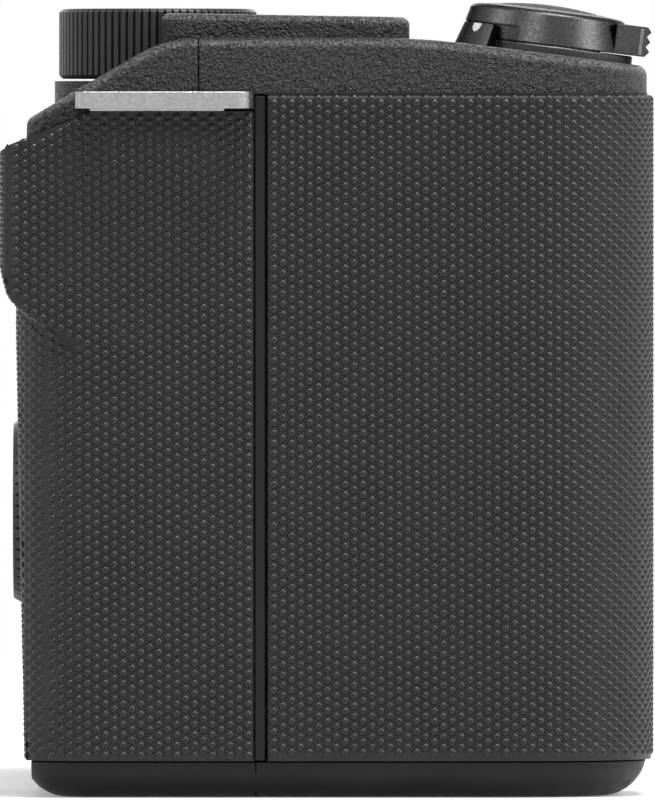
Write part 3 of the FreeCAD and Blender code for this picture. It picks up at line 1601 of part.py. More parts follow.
def seat_with_index(swing):
    """Seat disc with its guide tube and collar, cut back at the notch, and the fixed index mark."""
    tube, low = s.button_well + s.seat_tube, -s.switch_depth
    rise = s.seat_height + s.collar_rise
    disc = turned("seat_disc", [(s.button_well, low), (tube, low), (tube, 0), (s.seat_radius, 0),
                                (s.seat_radius, s.seat_height - s.seat_chamfer),
                                (s.seat_radius - s.seat_chamfer, s.seat_height),
                                (s.collar_outer, s.seat_height), (s.collar_outer, rise),
                                (s.collar_inner, rise), (s.collar_inner, 0), (s.button_well, 0)],
                  shutter_point(), shutter_rotation())
    around = sector_drum("seat_notch_outer", "Part::Cylinder", swing, s.seat_height + 1, 0,
                         Radius=s.seat_radius + 1)
    within = cylinder("seat_notch_inner", s.notch_inner_radius, 3, shutter_point(-1), shutter_rotation())
    opened = subtract("seat_opened", disc, [subtract("seat_notch", around, [within])])
    height = s.ring_top - s.ring_bridge - s.ring_gap
    cone = sector_drum("index_cone", "Part::Cone", s.index_half_width, height, 0,
                       Radius1=s.index_foot_radius, Radius2=s.index_top_radius)
    above = cylinder("index_core", s.index_inner, 5, shutter_point(float(s.seat_height)), shutter_rotation())
    below = cylinder("index_hub", s.collar_outer, s.seat_height, shutter_point(), shutter_rotation())
    mark = soften_corners("index_rounded", cone, height, s.notch_corner - s.ring_gap)
    unite("shutter_seat", [opened, subtract("index_mark", mark, [above, below])])


def lever_ring(swing):
    """Ring with a bridged notch over the index mark and a tab with a crossed knurl in front."""
    start, top = s.seat_height + s.ring_gap, s.ring_top
    bore, counterbore = s.button_well + 0.1, s.collar_outer + 0.1
    ledge = s.seat_height + s.collar_rise + s.ring_gap
    rim = s.ring_top_radius - s.ring_chamfer
    ring = turned("lever_blank", [(counterbore, start), (s.ring_low_radius, start),
                                  (s.ring_top_radius, top - s.ring_chamfer), (rim, top),
                                  (rim - s.ring_shoulder, top + s.ring_shoulder_rise),
                                  (bore, crown_top()), (bore, ledge), (counterbore, ledge)],
                  shutter_point(), shutter_rotation())
    half, reach, flare = s.tab_width / 2, s.tab_reach, s.tab_flare
    tab = [(-half - flare, -s.tab_start), (half + flare, -s.tab_start), (half, -reach), (-half, -reach)]
    tall = top - start - s.tab_drop
    pad(ring, "lever_tab", tab, tall, height=start)
    pitch = tall / s.tab_rows
    for index in range(int(float(s.tab_rows))):
        draw_tab_row(ring, f"tab_row_{index}", half, start + pitch * index, pitch, s.tab_tooth)
    grooves = int(float(s.tab_grooves))
    spacing = s.tab_width / s.tab_grooves
    for index in range(grooves + 1):
        x = -half + spacing * index
        valley = [(x - spacing / 2, -reach - s.tab_tooth - 0.01), (x, -reach - 0.02),
                  (x + spacing / 2, -reach - s.tab_tooth - 0.01)]
        pocket(ring, f"tab_groove_{index}", tall + 1, top, corners=valley)
    height = top - s.ring_bridge
    around = sector_drum("lever_notch_outer", "Part::Cylinder", swing, height, 0, Radius=s.seat_radius + 2)
    within = cylinder("lever_notch_inner", s.notch_inner_radius, 5, shutter_point(-1), shutter_rotation())
    opening = soften_corners("lever_notch_rounded", around, height, s.notch_corner)
    subtract("zoom_lever", ring, [subtract("lever_notch", opening, [within])])


def shutter_module():
    swing = s.index_half_width + s.lever_travel + 1.0
    seat_with_index(swing)
    lever_ring(swing)
    point, tilt = shutter_point(), shutter_rotation()
    button, raised = s.button_radius, crown_top() + s.button_proud
    stem, skirt, edge = s.button_stem, raised - s.button_skirt, s.button_edge
    turned("shutter_button", [(0, -s.button_stem_low), (stem, -s.button_stem_low), (stem, skirt),
                              (button, skirt), (button, raised - edge), (button - edge, raised),
                              *dome(button - edge, raised, s.button_dome)], point, tilt)
    floor, top = -s.switch_depth, s.switch_tall - s.switch_depth
    radius = s.button_well - 0.05
    turned("shutter_switch", [(0, floor), (radius, floor), (radius, top - 0.2), (1.6, top), (0, top)],
           point, tilt)


def draw_tab_row(body, name, half, level, pitch, tooth):
    """One raised ridge of the tab's front, triangular from the side."""
    sketch = new_sketch(body, name + "_sketch", "YZ_Plane", height=-half)
    reach = s.tab_reach - 0.01
    draw_polygon(sketch, [(-reach, level), (-reach, level + pitch), (-reach - tooth, level + pitch / 2)])
    ridge = body.newObject("PartDesign::Pad", name)
    ridge.Profile = sketch
    bind(ridge, Length=half * 2)
    doc.recompute()


def push_button(name, radius, proud, point, rotation, depth):
    """Cap with a chamfered rim and a collar that keeps it behind the cover."""
    collar, tall = radius + s.button_collar, s.button_collar
    chamfer = s.button_chamfer
    profile = [(0, -depth), (collar, -depth), (collar, -depth + tall), (radius, -depth + tall),
               (radius, proud - chamfer), (radius - chamfer, proud), (0, proud)]
    return turned(name, profile, point, rotation)


def top_buttons():
    for name, (across, depth, radius, proud) in TOP_BUTTONS.items():
        level = top_button_level(name)
        deep = s.plateau_button_deep if depth > -float(s.plateau_front) else s.nose_button_deep
        point = (across, depth, level)
        push_button(name, as_size(radius), as_size(proud), point, top_button_rotation(name), deep)


def power_switch():
    """Sliding knob with a ridged top, a little below the plateau around it."""
    half_deep, half_long = float(s.switch_half_deep), float(s.switch_long) / 2
    slot_half, gap = float(s.switch_slot_half), float(s.switch_gap)
    depth = -float(s.switch_back)
    top = plateau_level(depth) - float(s.switch_sunk)
    knob = switch_box(half_long, half_deep, float(s.switch_knob_tall))
    knob = knob.common(block((-FAR, -FAR, 0), (0, FAR, top)))
    shift = half_long + gap - slot_half
    middle = -float(s.switch_across) + shift
    ridges = []
    for index in range(-2, 3):
        x = middle + index * float(s.switch_ridge_pitch)
        half = float(s.switch_ridge_wide) / 2
        ridges.append(block((x - half, -FAR, top - float(s.switch_ridge)), (x + half, FAR, FAR)))
    knob.translate(Vector(shift, 0, 0))
    shaped("power_switch", solid_of(knob.cut(ridges)))


# Controls of the back.

def control_wheel():
    """Ring with a coarse notched rim around the centre button."""
    tall, radius, hole = s.wheel_tall, s.wheel_radius, s.wheel_hole
    skirt, step, edge = s.wheel_skirt, s.wheel_skirt_step, s.wheel_edge
    profile = [(hole, 0), (radius - step, 0), (radius - step, skirt), (radius, skirt),
               (radius, tall - s.wheel_edge_tall), (radius - edge, tall), (radius - s.wheel_rim, tall),
               (hole + s.wheel_groove_half, tall - s.wheel_dish + s.wheel_slope), (hole, tall - s.wheel_dish)]
    body = turned("control_wheel", profile, (-s.wheel_offset, s.wheel_hub, s.wheel_level), BACKWARD)
    doc.recompute()
    half = s.wheel_groove_half
    tooth = [(-half, radius + 0.2), (0, radius - s.wheel_tooth), (half, radius + 0.2)]
    cut = pocket(body, "wheel_groove", tall - skirt, tall + 0.1, corners=tooth)
    return repeat_around(body, "wheel_teeth_pattern", cut, s.wheel_teeth)


def back_controls():
    point = (-s.wheel_offset, s.wheel_face, s.wheel_level)
    radius, stem, skirt = s.centre_button_radius, s.centre_stem, s.centre_skirt
    sunk, edge, long = s.centre_button_sunk, s.centre_button_edge, s.centre_stem_long
    turned("center_button", [(0, -long), (stem, -long), (stem, -skirt), (radius, -skirt),
                             (radius, -sunk - edge), (radius - edge, -sunk), (0, -sunk)], point, BACKWARD)
    for name in BACK_BUTTONS:
        across, level = back_button_centre(name)
        push_button(name, s.back_button_radius, s.back_button_proud, (across, back_face(level), level),
                    BACKWARD, s.back_button_deep)


# Monitor and its hinge.

def hinge_depth():
    return (s.monitor_front + s.monitor_back) / 2


def monitor_outline():
    """Plan of the casing: square grip end, full round about the hinge axis at the port end."""
    half = (float(s.monitor_back) - float(s.monitor_front)) / 2
    port = float(s.hinge_offset) + half
    front, back = float(s.monitor_front), float(s.monitor_back)
    inner = float(s.monitor_inner)
    return [(-inner, front, 0.6), (port, front, half - 0.01), (port, back, half - 0.01), (-inner, back, 1.0)]


def monitor_notch(margin):
    return block((float(s.notch_inner) - margin, 0, float(s.notch_low) - margin),
                 (FAR, FAR, float(s.notch_high) + margin))


def monitor_parts():
    low, high = float(s.monitor_low), float(s.monitor_high)
    split = float(s.monitor_back) - float(s.bezel_thick)
    behind = block((-FAR, split, 0), (FAR, FAR, FAR))
    casing = prism(monitor_outline(), low, high).cut(monitor_notch(0))
    middle = (float(s.notch_low) + float(s.notch_high)) / 2
    depth, gap = float(hinge_depth()), float(s.hinge_pin_gap)
    tilt_start = float(s.notch_inner) - float(s.tilt_pin_long)
    shell = casing.cut(behind).cut(drum(s.tilt_pin + gap, 4, (tilt_start, depth, middle), X))
    shaped("monitor_back_shell", solid_of(shell))
    side, step, seat = float(s.bezel_side), float(s.glass_step), split + float(s.glass_seat)
    left = -float(s.monitor_inner) + float(s.bezel_end)
    right = float(s.port_side) - float(s.bezel_port_end)
    room = float(s.glass_room)
    window = block((left + step, split - 1, low + side + step), (right - step, seat, high - side - step))
    glass_room = block((left, seat, low + side), (right, FAR, high - side))
    shaped("monitor_bezel", solid_of(casing.common(behind).cut([window, glass_room])))
    glass = block((left + room, seat, low + side + room),
                  (right - room, float(s.monitor_back) - room, high - side - room))
    inset = step + room
    panel = block((left + inset, split, low + side + inset), (right - inset, seat, high - side - inset))
    shaped("monitor_screen", solid_of(glass.fuse(panel)))


def monitor_hinge():
    axis_x, axis_y, recess = float(s.hinge_offset), float(hinge_depth()), float(s.recess_floor)
    half = (float(s.monitor_back) - float(s.monitor_front)) / 2
    pin, gap, washer = float(s.hinge_pin_radius), float(s.hinge_gap), float(s.hinge_washer)
    low, high = float(s.notch_low) + gap, float(s.notch_high) - gap
    knuckle, notch = float(s.hinge_knuckle), float(s.notch_inner)
    arm_low, arm_high = low + knuckle + washer, high - knuckle - washer
    arm = drum(half, arm_high - arm_low, (axis_x, axis_y, arm_low))
    arm = arm.fuse(block((notch + washer, axis_y - half, arm_low), (axis_x, axis_y + half, arm_high)))
    arm = arm.cut(drum(pin + float(s.hinge_pin_gap), FAR, (axis_x, axis_y, 0)))
    middle = (low + high) / 2
    start = notch - float(s.tilt_pin_long) + gap
    arm = arm.fuse(drum(s.tilt_pin, s.tilt_pin_long, (start, axis_y, middle), X))
    shaped("monitor_arm", solid_of(arm))
    shaped("monitor_hinge_pin", drum(pin, high - low, (axis_x, axis_y, low)))
    leaf, ear_half = float(s.hinge_leaf_half), float(s.hinge_ear_half)
    bracket = block((axis_x - leaf, recess, low), (axis_x + leaf, recess + float(s.hinge_leaf), high))
    for base in (low, high - knuckle):
        ear = drum(half - 0.1, knuckle, (axis_x, axis_y, base))
        ear = ear.fuse(block((axis_x - ear_half, recess, base), (axis_x + ear_half, axis_y, base + knuckle)))
        bracket = bracket.fuse(ear)
    bracket = bracket.cut(drum(pin, FAR, (axis_x, axis_y, 0)))
    shaped("monitor_hinge_bracket", solid_of(bracket))


# Battery, card, bottom door.

def battery_box(margin):
    port, rear = float(s.battery_port_side), float(s.battery_rear)
    low = (-port - float(s.battery_wide) - margin, rear - float(s.battery_deep) - margin)
    high = (-port + margin, rear + margin)
    return low, high


def battery_plan(margin, radius):
    low, high = battery_box(margin)
    return [(low[0], high[1], radius), (low[0], low[1], radius),
            (high[0], low[1], radius), (high[0], high[1], radius)]


def battery_parts():
    low, top = float(s.battery_low), float(s.battery_top)
    gap, wall, corner = float(s.bay_gap), float(s.bay_wall), float(s.battery_corner)
    box_low, box_high = battery_box(0)
    mark = block((box_low[0] - 0.2, -10, top - float(s.battery_mark)), (box_low[0] + 1.8, 12, top + 1))
    pack = prism(battery_plan(0, corner), low, top).cut(mark)
    shaped("battery_pack", solid_of(pack))
    roof = top + float(s.bay_roof)
    outer = battery_plan(gap + wall, corner + gap + wall)
    bay = prism(outer, low + float(s.bay_lift), roof + float(s.bay_roof))
    port, card_rear = float(s.card_port_side), float(s.card_rear)
    deep, tall, wide = float(s.card_deep), float(s.card_tall), float(s.card_wide)
    card_low = low + float(s.card_lift)
    card = (-port - wide, card_rear - deep, card_low), (-port, card_rear, card_low + tall)
    holder = grown(*card, float(s.card_holder)).cut(block((-FAR, -FAR, -5), (FAR, FAR, card_low + 1.0)))
    bay = bay.fuse(holder).cut(prism(battery_plan(gap, corner + gap), 0, roof))
    contacts = []
    for index in range(4):
        y = box_low[1] + 6.7 + index * float(s.bay_contact_pitch)
        contacts.append(block((box_low[0] + 3.3, y, top + 0.1), (box_low[0] + 5.7, y + 1.0, roof + gap)))
    bay = bay.cut(grown(*card, float(s.card_gap))).fuse(contacts)
    shaped("battery_bay", solid_of(bay))


def battery_door():
    """Door that carries the base's own surface, with its hinge barrel, plus seal, pin and latch."""
    thick = float(s.door_thick)
    door = outside.common(prism(bottom_door_corners(0), -5, thick))
    across, level = door_axis()
    inset = float(s.door_barrel_inset)
    barrel_low, barrel_high = -float(s.door_step) + inset, float(s.door_rear) - inset
    door = door.cut(block((across, -FAR, -5), (FAR, FAR, FAR)))
    barrel = drum(s.door_barrel, barrel_high - barrel_low, (across, barrel_low, level), Y)
    door = door.fuse(barrel).cut(door_pin(s.door_pin_gap))
    port, wide, long = -float(s.latch_port), float(s.latch_wide), float(s.latch_long)
    front, gap, low = -float(s.latch_front), float(s.latch_gap), float(s.latch_low)
    high = low + float(s.latch_thick)
    rear = front + long + float(s.latch_travel)
    door = door.cut(block((port - wide - gap, front - gap, -1), (port + gap, rear + gap, high + 0.05)))
    shaped("battery_door", solid_of(door))
    shaped("door_hinge_pin", door_pin(0))
    shaped("battery_door_latch", block((port - wide, front, low), (port, front + long, high)))
    corner = float(s.battery_corner)
    seal = prism(battery_plan(-float(s.seal_outer), corner), thick, thick + float(s.seal_tall))
    seal = seal.cut(prism(battery_plan(-float(s.seal_inner), corner / 2), 0, 9))
    shaped("battery_door_seal", solid_of(seal))


# Base.

def tripod_parts():
    socket = cylinder("socket_sleeve", s.socket_radius, s.socket_height, (0, 0, 0))
    flange = cylinder("socket_flange_disc", s.socket_flange, s.socket_flange_tall, (0, 0, 0))
    bore = cylinder("socket_bore", s.tripod_radius, s.tripod_depth, (0, 0, 0))
    subtract("tripod_socket", unite("socket_blank", [socket, flange]), [bore])
    screws = []
    for across, depth in BASE_SCREWS:
        point = (across, depth, s.base_screw_sunk)
        screw = drum(s.base_screw_head, s.base_screw_tall, point)
        screw = screw.fuse(drum(s.base_screw_shank, s.base_screw_long, point))
        screws.append(screw.removeSplitter().Solids[0])
    shaped("base_screws", Part.makeCompound(screws))


# Port side.

def plug_socket(name, low, half, tall):
    """Flat socket with a tongue, open to the port side, and the block it takes in the panel."""
    inner = float(s.port_side) - float(s.wall) - float(s.port_setback)
    middle = (float(s.port_front) + float(s.port_rear)) / 2
    shell, long = float(s.plug_shell), float(s.plug_long)
    side, back = float(s.plug_tongue_side), float(s.plug_tongue_back)
    body = block((inner - long, middle - half, low), (inner, middle + half, low + tall))
    mouth = block((inner - long + 2 * back, middle - half + shell, low + shell),
                  (FAR, middle + half - shell, low + tall - shell))
    level = low + (tall - float(s.plug_tongue_tall)) / 2
    tongue = block((inner - long + back, middle - half + side, level),
                   (inner - 2 * back, middle + half - side, level + float(s.plug_tongue_tall)))
    shaped(name, solid_of(body.cut(mouth).fuse(tongue)))
    return body


def ports():
    inner = float(s.port_side) - float(s.wall) - float(s.port_setback)
    front, rear = float(s.port_front), float(s.port_rear)
    rim, middle = float(s.port_panel_rim), (front + rear) / 2
    low = float(s.lower_port_low) - float(s.port_panel_low)
    high = float(s.upper_port_high) + float(s.port_panel_rise)
    panel = block((inner - float(s.port_panel_thick), front - rim, low), (inner, rear + rim / 2, high))
    radius, outer, long = float(s.jack_radius), float(s.jack_outer), float(s.jack_long)
    levels = {"mic_jack": (float(s.upper_port_low) + float(s.upper_port_high)) / 2,
              "headphone_jack": float(s.lower_port_high) - float(s.headphone_drop)}
    for name, level in levels.items():
        jack = drum(outer, long, (inner - long, middle, level), X)
        panel = panel.cut(jack)
        shaped(name, jack.cut(drum(radius, long, (inner - long + float(s.jack_end), middle, level), X)))
    lower = float(s.lower_port_low)
    usb = plug_socket("usb_socket", lower + float(s.usb_rise), float(s.usb_half), float(s.usb_tall))
    hdmi = plug_socket("hdmi_socket", lower + float(s.hdmi_rise), float(s.hdmi_half), float(s.hdmi_tall))
    shaped("port_panel", solid_of(panel.cut([usb, hdmi])))
    port_doors(front, rear)


def port_doors(front, rear):
    """Two doors with a rounded hinge edge in front and a finger notch in the rear."""
    outer, thick = float(s.port_side), float(s.port_door_thick)
    radius, grip = thick / 2, float(s.port_door_grip)
    for name, low, high in (("upper_port_door", float(s.upper_port_low), float(s.upper_port_high)),
                            ("lower_port_door", float(s.lower_port_low), float(s.lower_port_high))):
        door = block((outer - thick, front + radius, low), (outer, rear, high))
        door = door.fuse(drum(radius, high - low, (outer - radius, front + radius, low)))
        notch = low + float(s.port_door_grip_low)
        deep = float(s.port_door_grip_deep)
        notch_top = notch + float(s.port_door_grip_tall)
        door = door.cut(block((outer - deep, rear - grip, notch), (FAR, FAR, notch_top)))
        shaped(name, solid_of(door))


# Small parts of the front.

def front_parts():
    across, level, face = s.release_across, s.release_level, -float(s.cover_front)
    cap = drum(s.release_radius, s.release_tall, (across, face - float(s.release_proud), level), Y)
    rim_start = face + float(s.wall) + float(s.collar_gap)
    rim = drum(s.release_radius + s.release_rim, s.release_rim_thick, (across, rim_start, level), Y)
    stem = drum(s.release_stem, s.release_stem_long, (across, face + float(s.wall), level), Y)
    shaped("lens_release_button", solid_of(cap.fuse([rim, stem])))
    lock = vector(polar(s.lock_circle, LOCK_ANGLE, -float(s.flange_depth) - 1.0))
    end = face + float(s.wall) + float(s.release_stem_long)
    radius, thick = float(s.lock_radius), 1.3
    pin = drum(radius, end - lock.y, lock, Y)
    lever = block((lock.x - radius, end - thick, float(level) - 1.5),
                  (float(across) + 1.5, end, lock.z + 1.5))
    bore = drum(s.release_stem, 20, (across, -12, level), Y)
    shaped("lens_lock_pin", solid_of(pin.fuse(lever).cut(bore)))
    shaped("lamp_window", drum(s.lamp_radius, s.lamp_thick, (across, face, s.lamp_level), Y))


def build():
    front_cover()
    top_cover()
    rear_cover()
    bottom_cover()
    front_grip_rubber()
    rear_grip_rubber()
    grip_trim_strip()
    strap_lug("strap_lug_grip_side", -1)
    strap_lug("strap_lug_port_side", 1)
    lens_mount_ring()
    lens_mount_screws()
    chassis()
    lens_contact_block()
    lens_contact_pins()
    sensor_parts()
    main_board()
    hot_shoe()
    microphone()
    rear_dial()
    shutter_module()
    top_buttons()
    power_switch()
    control_wheel()
    back_controls()
    monitor_parts()
    monitor_hinge()
    battery_parts()
    battery_door()
    tripod_parts()
    ports()
    front_parts()
    doc.recompute()


def is_node(thing):
    """A sub-part is what no other object uses as its own tool or feature."""
    kinds = ("Part::", "PartDesign::Body")
    if not thing.TypeId.startswith(kinds):
        return False
    return not any(user.TypeId.startswith("Part::") for user in thing.InList)


def write_parts():
    os.makedirs("parts", exist_ok=True)
    for thing in doc.Objects:
        if any(state in ("Invalid", "Error") for state in thing.State):
            raise ValueError(f"{thing.Label} did not build: {thing.State}")
    nodes = [thing for thing in doc.Objects if is_node(thing)]
    for thing in nodes:
        if thing.Shape.isNull() or not thing.Shape.isValid():
            raise ValueError(f"{thing.Label} has no valid shape")
    for thing in nodes:
        thing.Shape.exportStep(os.path.join("parts", thing.Label + ".step"))
    print(len(nodes), "nodes")


build()
write_parts()
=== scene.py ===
"""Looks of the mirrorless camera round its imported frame.

Metres, in the frame of the solids: -X is the grip side that the picture shows, -Y the lens side,
+Z up. The origin is the mouth of the tripod socket. Names that end in _MM and the drawings of the
printed marks are in millimetres.
"""

import json
import math

import bmesh
import bpy
import numpy as np
from mathutils import Matrix, Vector
from mathutils.bvhtree import BVHTree

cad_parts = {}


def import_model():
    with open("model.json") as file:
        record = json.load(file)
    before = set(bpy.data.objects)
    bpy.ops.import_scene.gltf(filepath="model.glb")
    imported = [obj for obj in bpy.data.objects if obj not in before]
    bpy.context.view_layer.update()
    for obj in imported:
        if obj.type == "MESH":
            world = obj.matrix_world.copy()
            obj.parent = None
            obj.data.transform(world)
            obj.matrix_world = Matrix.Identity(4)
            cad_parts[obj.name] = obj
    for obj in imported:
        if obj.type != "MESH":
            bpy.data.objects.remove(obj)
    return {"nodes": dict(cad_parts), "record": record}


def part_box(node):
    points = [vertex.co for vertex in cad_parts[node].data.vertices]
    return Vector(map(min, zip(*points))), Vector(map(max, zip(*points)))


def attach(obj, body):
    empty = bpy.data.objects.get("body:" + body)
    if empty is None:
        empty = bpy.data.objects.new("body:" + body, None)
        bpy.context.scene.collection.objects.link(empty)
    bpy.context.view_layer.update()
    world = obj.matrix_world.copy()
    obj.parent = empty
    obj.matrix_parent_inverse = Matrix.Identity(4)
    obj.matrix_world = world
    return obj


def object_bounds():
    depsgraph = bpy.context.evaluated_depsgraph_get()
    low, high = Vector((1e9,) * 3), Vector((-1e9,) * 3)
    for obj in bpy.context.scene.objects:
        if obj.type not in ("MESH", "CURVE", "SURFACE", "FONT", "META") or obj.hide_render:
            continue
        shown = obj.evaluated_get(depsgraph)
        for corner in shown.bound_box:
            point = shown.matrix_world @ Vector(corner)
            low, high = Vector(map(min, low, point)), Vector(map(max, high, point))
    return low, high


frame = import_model()
cad_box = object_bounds()
nodes = frame["nodes"]
MM = 0.001
X, Y, Z = Vector((1, 0, 0)), Vector((0, 1, 0)), Vector((0, 0, 1))

# Picture geometry: the grip side's plane, which the lug passes by its reach, and how many
# millimetres the picture covers there. The camera's elevation is in degrees.
PICTURE_HEIGHT_MM = 67.23
PICTURE_CENTRE_DEPTH_MM = 0.21
PICTURE_CENTRE_LEVEL_MM = 33.45
LUG_REACH_MM = 3.6
CAMERA_DISTANCE = 2.4
CAMERA_ELEVATION = 0.4
CAMERA_CLIP = (0.1, 20.0)
SENSOR = 36.0

# Grip texture: pitch of the dots on the side face, and how near an edge or another dot one stands.
DOT_ROW = 0.866 * MM
DOT_COLUMN = 0.75 * MM
DOT_MARGIN = 0.22 * MM
DOT_SPACING = 0.68 * MM
FIRST_SIDE_COLUMN = 0.46 * MM
FIRST_BACK_COLUMN = 0.5 * MM
# Radius and height in millimetres of each ring of a dot, from the centre out.
DOT_PROFILE = ((0.0, 0.19), (0.08, 0.186), (0.16, 0.164), (0.23, 0.127), (0.285, 0.088),
               (0.34, 0.034), (0.38, -0.02))
DOT_AROUND = 12
DOT_PROBES = 8

# Rounded corners of the grips, and the seam between the front grip and the top cover.
GRIP_CORNER = 11.9 * MM
GRIP_INNER_CORNER = 7.9 * MM
RECESS_REACH = 2 * MM
REAR_CORNER = 6.4 * MM
REAR_CORNER_DEPTH = 26.3 * MM
REAR_CORNER_TOP = 41 * MM
SEAM_OVER_GRIP = 0.26 * MM

# Axes that looks or marks follow.
LENS_AXIS_LEVEL_MM = 31.6
MOUNT_FACE_DEPTH_MM = -13.5
SENSOR_PLANE_DEPTH_MM = 4.5
DIAL_AXIS = (-56.5 * MM, 14.55 * MM, 0)
SHUTTER_AXIS_FOOT = Vector((-55.0, -18.05, 62.605)) * MM
SHUTTER_TILT = math.radians(7.0)


# Materials.

# Most values of a noise lie between these.
NOISE_LOW, NOISE_HIGH = 0.35, 0.65
# Distance between the rings of a wave texture whose scale is 1.
WAVE_PITCH = 0.3142
# Sockets of a mix node that mixes colours.
MIX_FACTOR, MIX_A, MIX_B, MIX_RESULT = 0, 6, 7, 2


class Look:
    """A procedural material built on one Principled shader, in the object's own coordinates."""

    def __init__(self, name, colour, roughness, metallic=0.0, specular=0.5, **uniform):
        self.material = bpy.data.materials.new(name)
        self.material.use_nodes = True
        self.tree = self.material.node_tree
        self.shader = self.tree.nodes["Principled BSDF"]
        self.set("Base Color", (*colour, 1.0))
        self.set("Roughness", roughness)
        self.set("Metallic", metallic)
        self.set("Specular IOR Level", specular)
        for socket, value in uniform.items():
            self.set(socket.replace("_", " "), value)
        self.colour = colour
        self.roughness = roughness
        self.normal = None
        self.place = self.tree.nodes.new("ShaderNodeTexCoord").outputs["Object"]

    def set(self, socket, value):
        self.shader.inputs[socket].default_value = value

    def node(self, kind, **values):
        """A new node, with values set on its properties or else on its sockets."""
        made = self.tree.nodes.new(kind)
        for name, value in values.items():
            if hasattr(made, name):
                setattr(made, name, value)
            else:
                made.inputs[name.replace("_", " ")].default_value = value
        return made

    def link(self, source, target):
        self.tree.links.new(source, target)

    def noise(self, size, detail=2.0):
        """Noise whose lumps are about the given size."""
        texture = self.node("ShaderNodeTexNoise", Scale=1.0 / size, Detail=detail)
        self.link(self.place, texture.inputs["Vector"])
        return texture.outputs["Fac"]

    def ramp(self, source, low, high, from_low=NOISE_LOW, from_high=NOISE_HIGH):
        """Spread a texture's values over the range from low to high."""
        spread = self.node("ShaderNodeMapRange")
        for socket, value in (("From Min", from_low), ("From Max", from_high),
                              ("To Min", low), ("To Max", high)):
            spread.inputs[socket].default_value = value
        self.link(source, spread.inputs["Value"])
        return spread.outputs["Result"]

    def tint(self, source, amount, low=NOISE_LOW, high=NOISE_HIGH):
        """Darken and lighten the colour by a texture, which is spread between low and high."""
        mix = self.node("ShaderNodeMix", data_type="RGBA")
        dark, light = (tuple(value * (1 + side * amount) for value in self.colour)
                       for side in (-1, 1))
        mix.inputs[MIX_A].default_value = (*dark, 1.0)
        mix.inputs[MIX_B].default_value = (*light, 1.0)
        self.link(self.ramp(source, 0.0, 1.0, low, high), mix.inputs[MIX_FACTOR])
        self.link(mix.outputs[MIX_RESULT], self.shader.inputs["Base Color"])
        return self

    def tinted(self):
        """The socket that gives the colour so far."""
        return self.shader.inputs["Base Color"].links[0].from_socket

    def pit(self, source, low, high, depth):
        """Darken the tinted colour where a texture is low."""
        mix = self.node("ShaderNodeMix", data_type="RGBA")
        mix.inputs[MIX_A].default_value = (*(value * depth for value in self.colour), 1.0)
        self.link(self.tinted(), mix.inputs[MIX_B])
        self.link(self.ramp(source, 0.0, 1.0, low, high), mix.inputs[MIX_FACTOR])
        self.link(mix.outputs[MIX_RESULT], self.shader.inputs["Base Color"])
        return self

    def rub(self, amount):
        """Painted highlight: lighten the tinted colour on the rounded upper edges, whose normals
        lean half way up, as if they caught the light from above.
        """
        begins, full, fades, ends = 0.10, 0.35, 0.62, 0.84
        parts = self.node("ShaderNodeSeparateXYZ")
        self.link(self.node("ShaderNodeTexCoord").outputs["Normal"], parts.inputs[0])
        rise = self.ramp(parts.outputs["Z"], 0.0, 1.0, begins, full)
        fall = self.ramp(parts.outputs["Z"], 1.0, 0.0, fades, ends)
        both = self.node("ShaderNodeMath", operation="MULTIPLY")
        self.link(rise, both.inputs[0])
        self.link(fall, both.inputs[1])
        scale = self.node("ShaderNodeVectorMath", operation="SCALE")
        self.link(self.tinted(), scale.inputs[0])
        self.link(self.ramp(both.outputs[0], 1.0, amount, 0.0, 1.0), scale.inputs["Scale"])
        self.link(scale.outputs["Vector"], self.shader.inputs["Base Color"])
        return self

    def roughen(self, source, amount):
        low, high = self.roughness - amount, self.roughness + amount
        self.link(self.ramp(source, low, high), self.shader.inputs["Roughness"])
        return self

    def bump(self, source, height, strength=1.0):
        made = self.node("ShaderNodeBump", Strength=strength, Distance=height)
        self.link(source, made.inputs["Height"])
        if self.normal:
            self.link(self.normal, made.inputs["Normal"])
        self.normal = made.outputs["Normal"]
        self.link(self.normal, self.shader.inputs["Normal"])
        return self

    def soften(self, radius):
        """Round the sharp edges of a solid in its shading."""
        made = self.node("ShaderNodeBevel", Radius=radius)
        self.normal = made.outputs["Normal"]
        self.link(self.normal, self.shader.inputs["Normal"])
        return self

    def turning(self, centre, pitch, direction):
        """Fine lathe rings about an axis through the given centre."""
        shift = self.node("ShaderNodeMapping")
        shift.inputs["Location"].default_value = tuple(-value for value in centre)
        self.link(self.place, shift.inputs["Vector"])
        rings = self.node("ShaderNodeTexWave", wave_type="RINGS", rings_direction=direction,
                          Scale=WAVE_PITCH / pitch, Distortion=0.6)
        self.link(shift.outputs["Vector"], rings.inputs["Vector"])
        return rings.outputs["Fac"]


def grained_plastic(name):
    """Moulded cover with a crinkled grain, fine lumps with pits between them."""
    look = Look(name, (0.033, 0.033, 0.034), 0.36, specular=0.18).soften(0.30 * MM)
    look.tint(look.noise(0.20 * MM), 0.60, 0.40, 0.60)
    look.pit(look.noise(0.45 * MM), 0.31, 0.38, depth=0.25)
    # Painted highlight on the rounded upper edges of the cover.
    look.rub(2.7)
    look.roughen(look.noise(0.30 * MM), 0.10)
    look.bump(look.noise(0.50 * MM), 0.50 * MM)
    return look.bump(look.noise(0.22 * MM), 0.42 * MM)


def smooth_plastic(name, colour, roughness, specular, edge=0.12 * MM):
    look = Look(name, colour, roughness, specular=specular).soften(edge)
    look.tint(look.noise(6 * MM, 3), 0.12)
    look.roughen(look.noise(1.5 * MM, 3), 0.06)
    return look.bump(look.noise(0.16 * MM), 0.018 * MM, 0.6)


def soft_rubber(name, colour, roughness, specular=0.18):
    look = Look(name, colour, roughness, specular=specular)
    look.tint(look.noise(5 * MM, 3), 0.12)
    look.roughen(look.noise(0.7 * MM, 3), 0.06)
    return look.bump(look.noise(0.10 * MM), 0.012 * MM, 0.5)


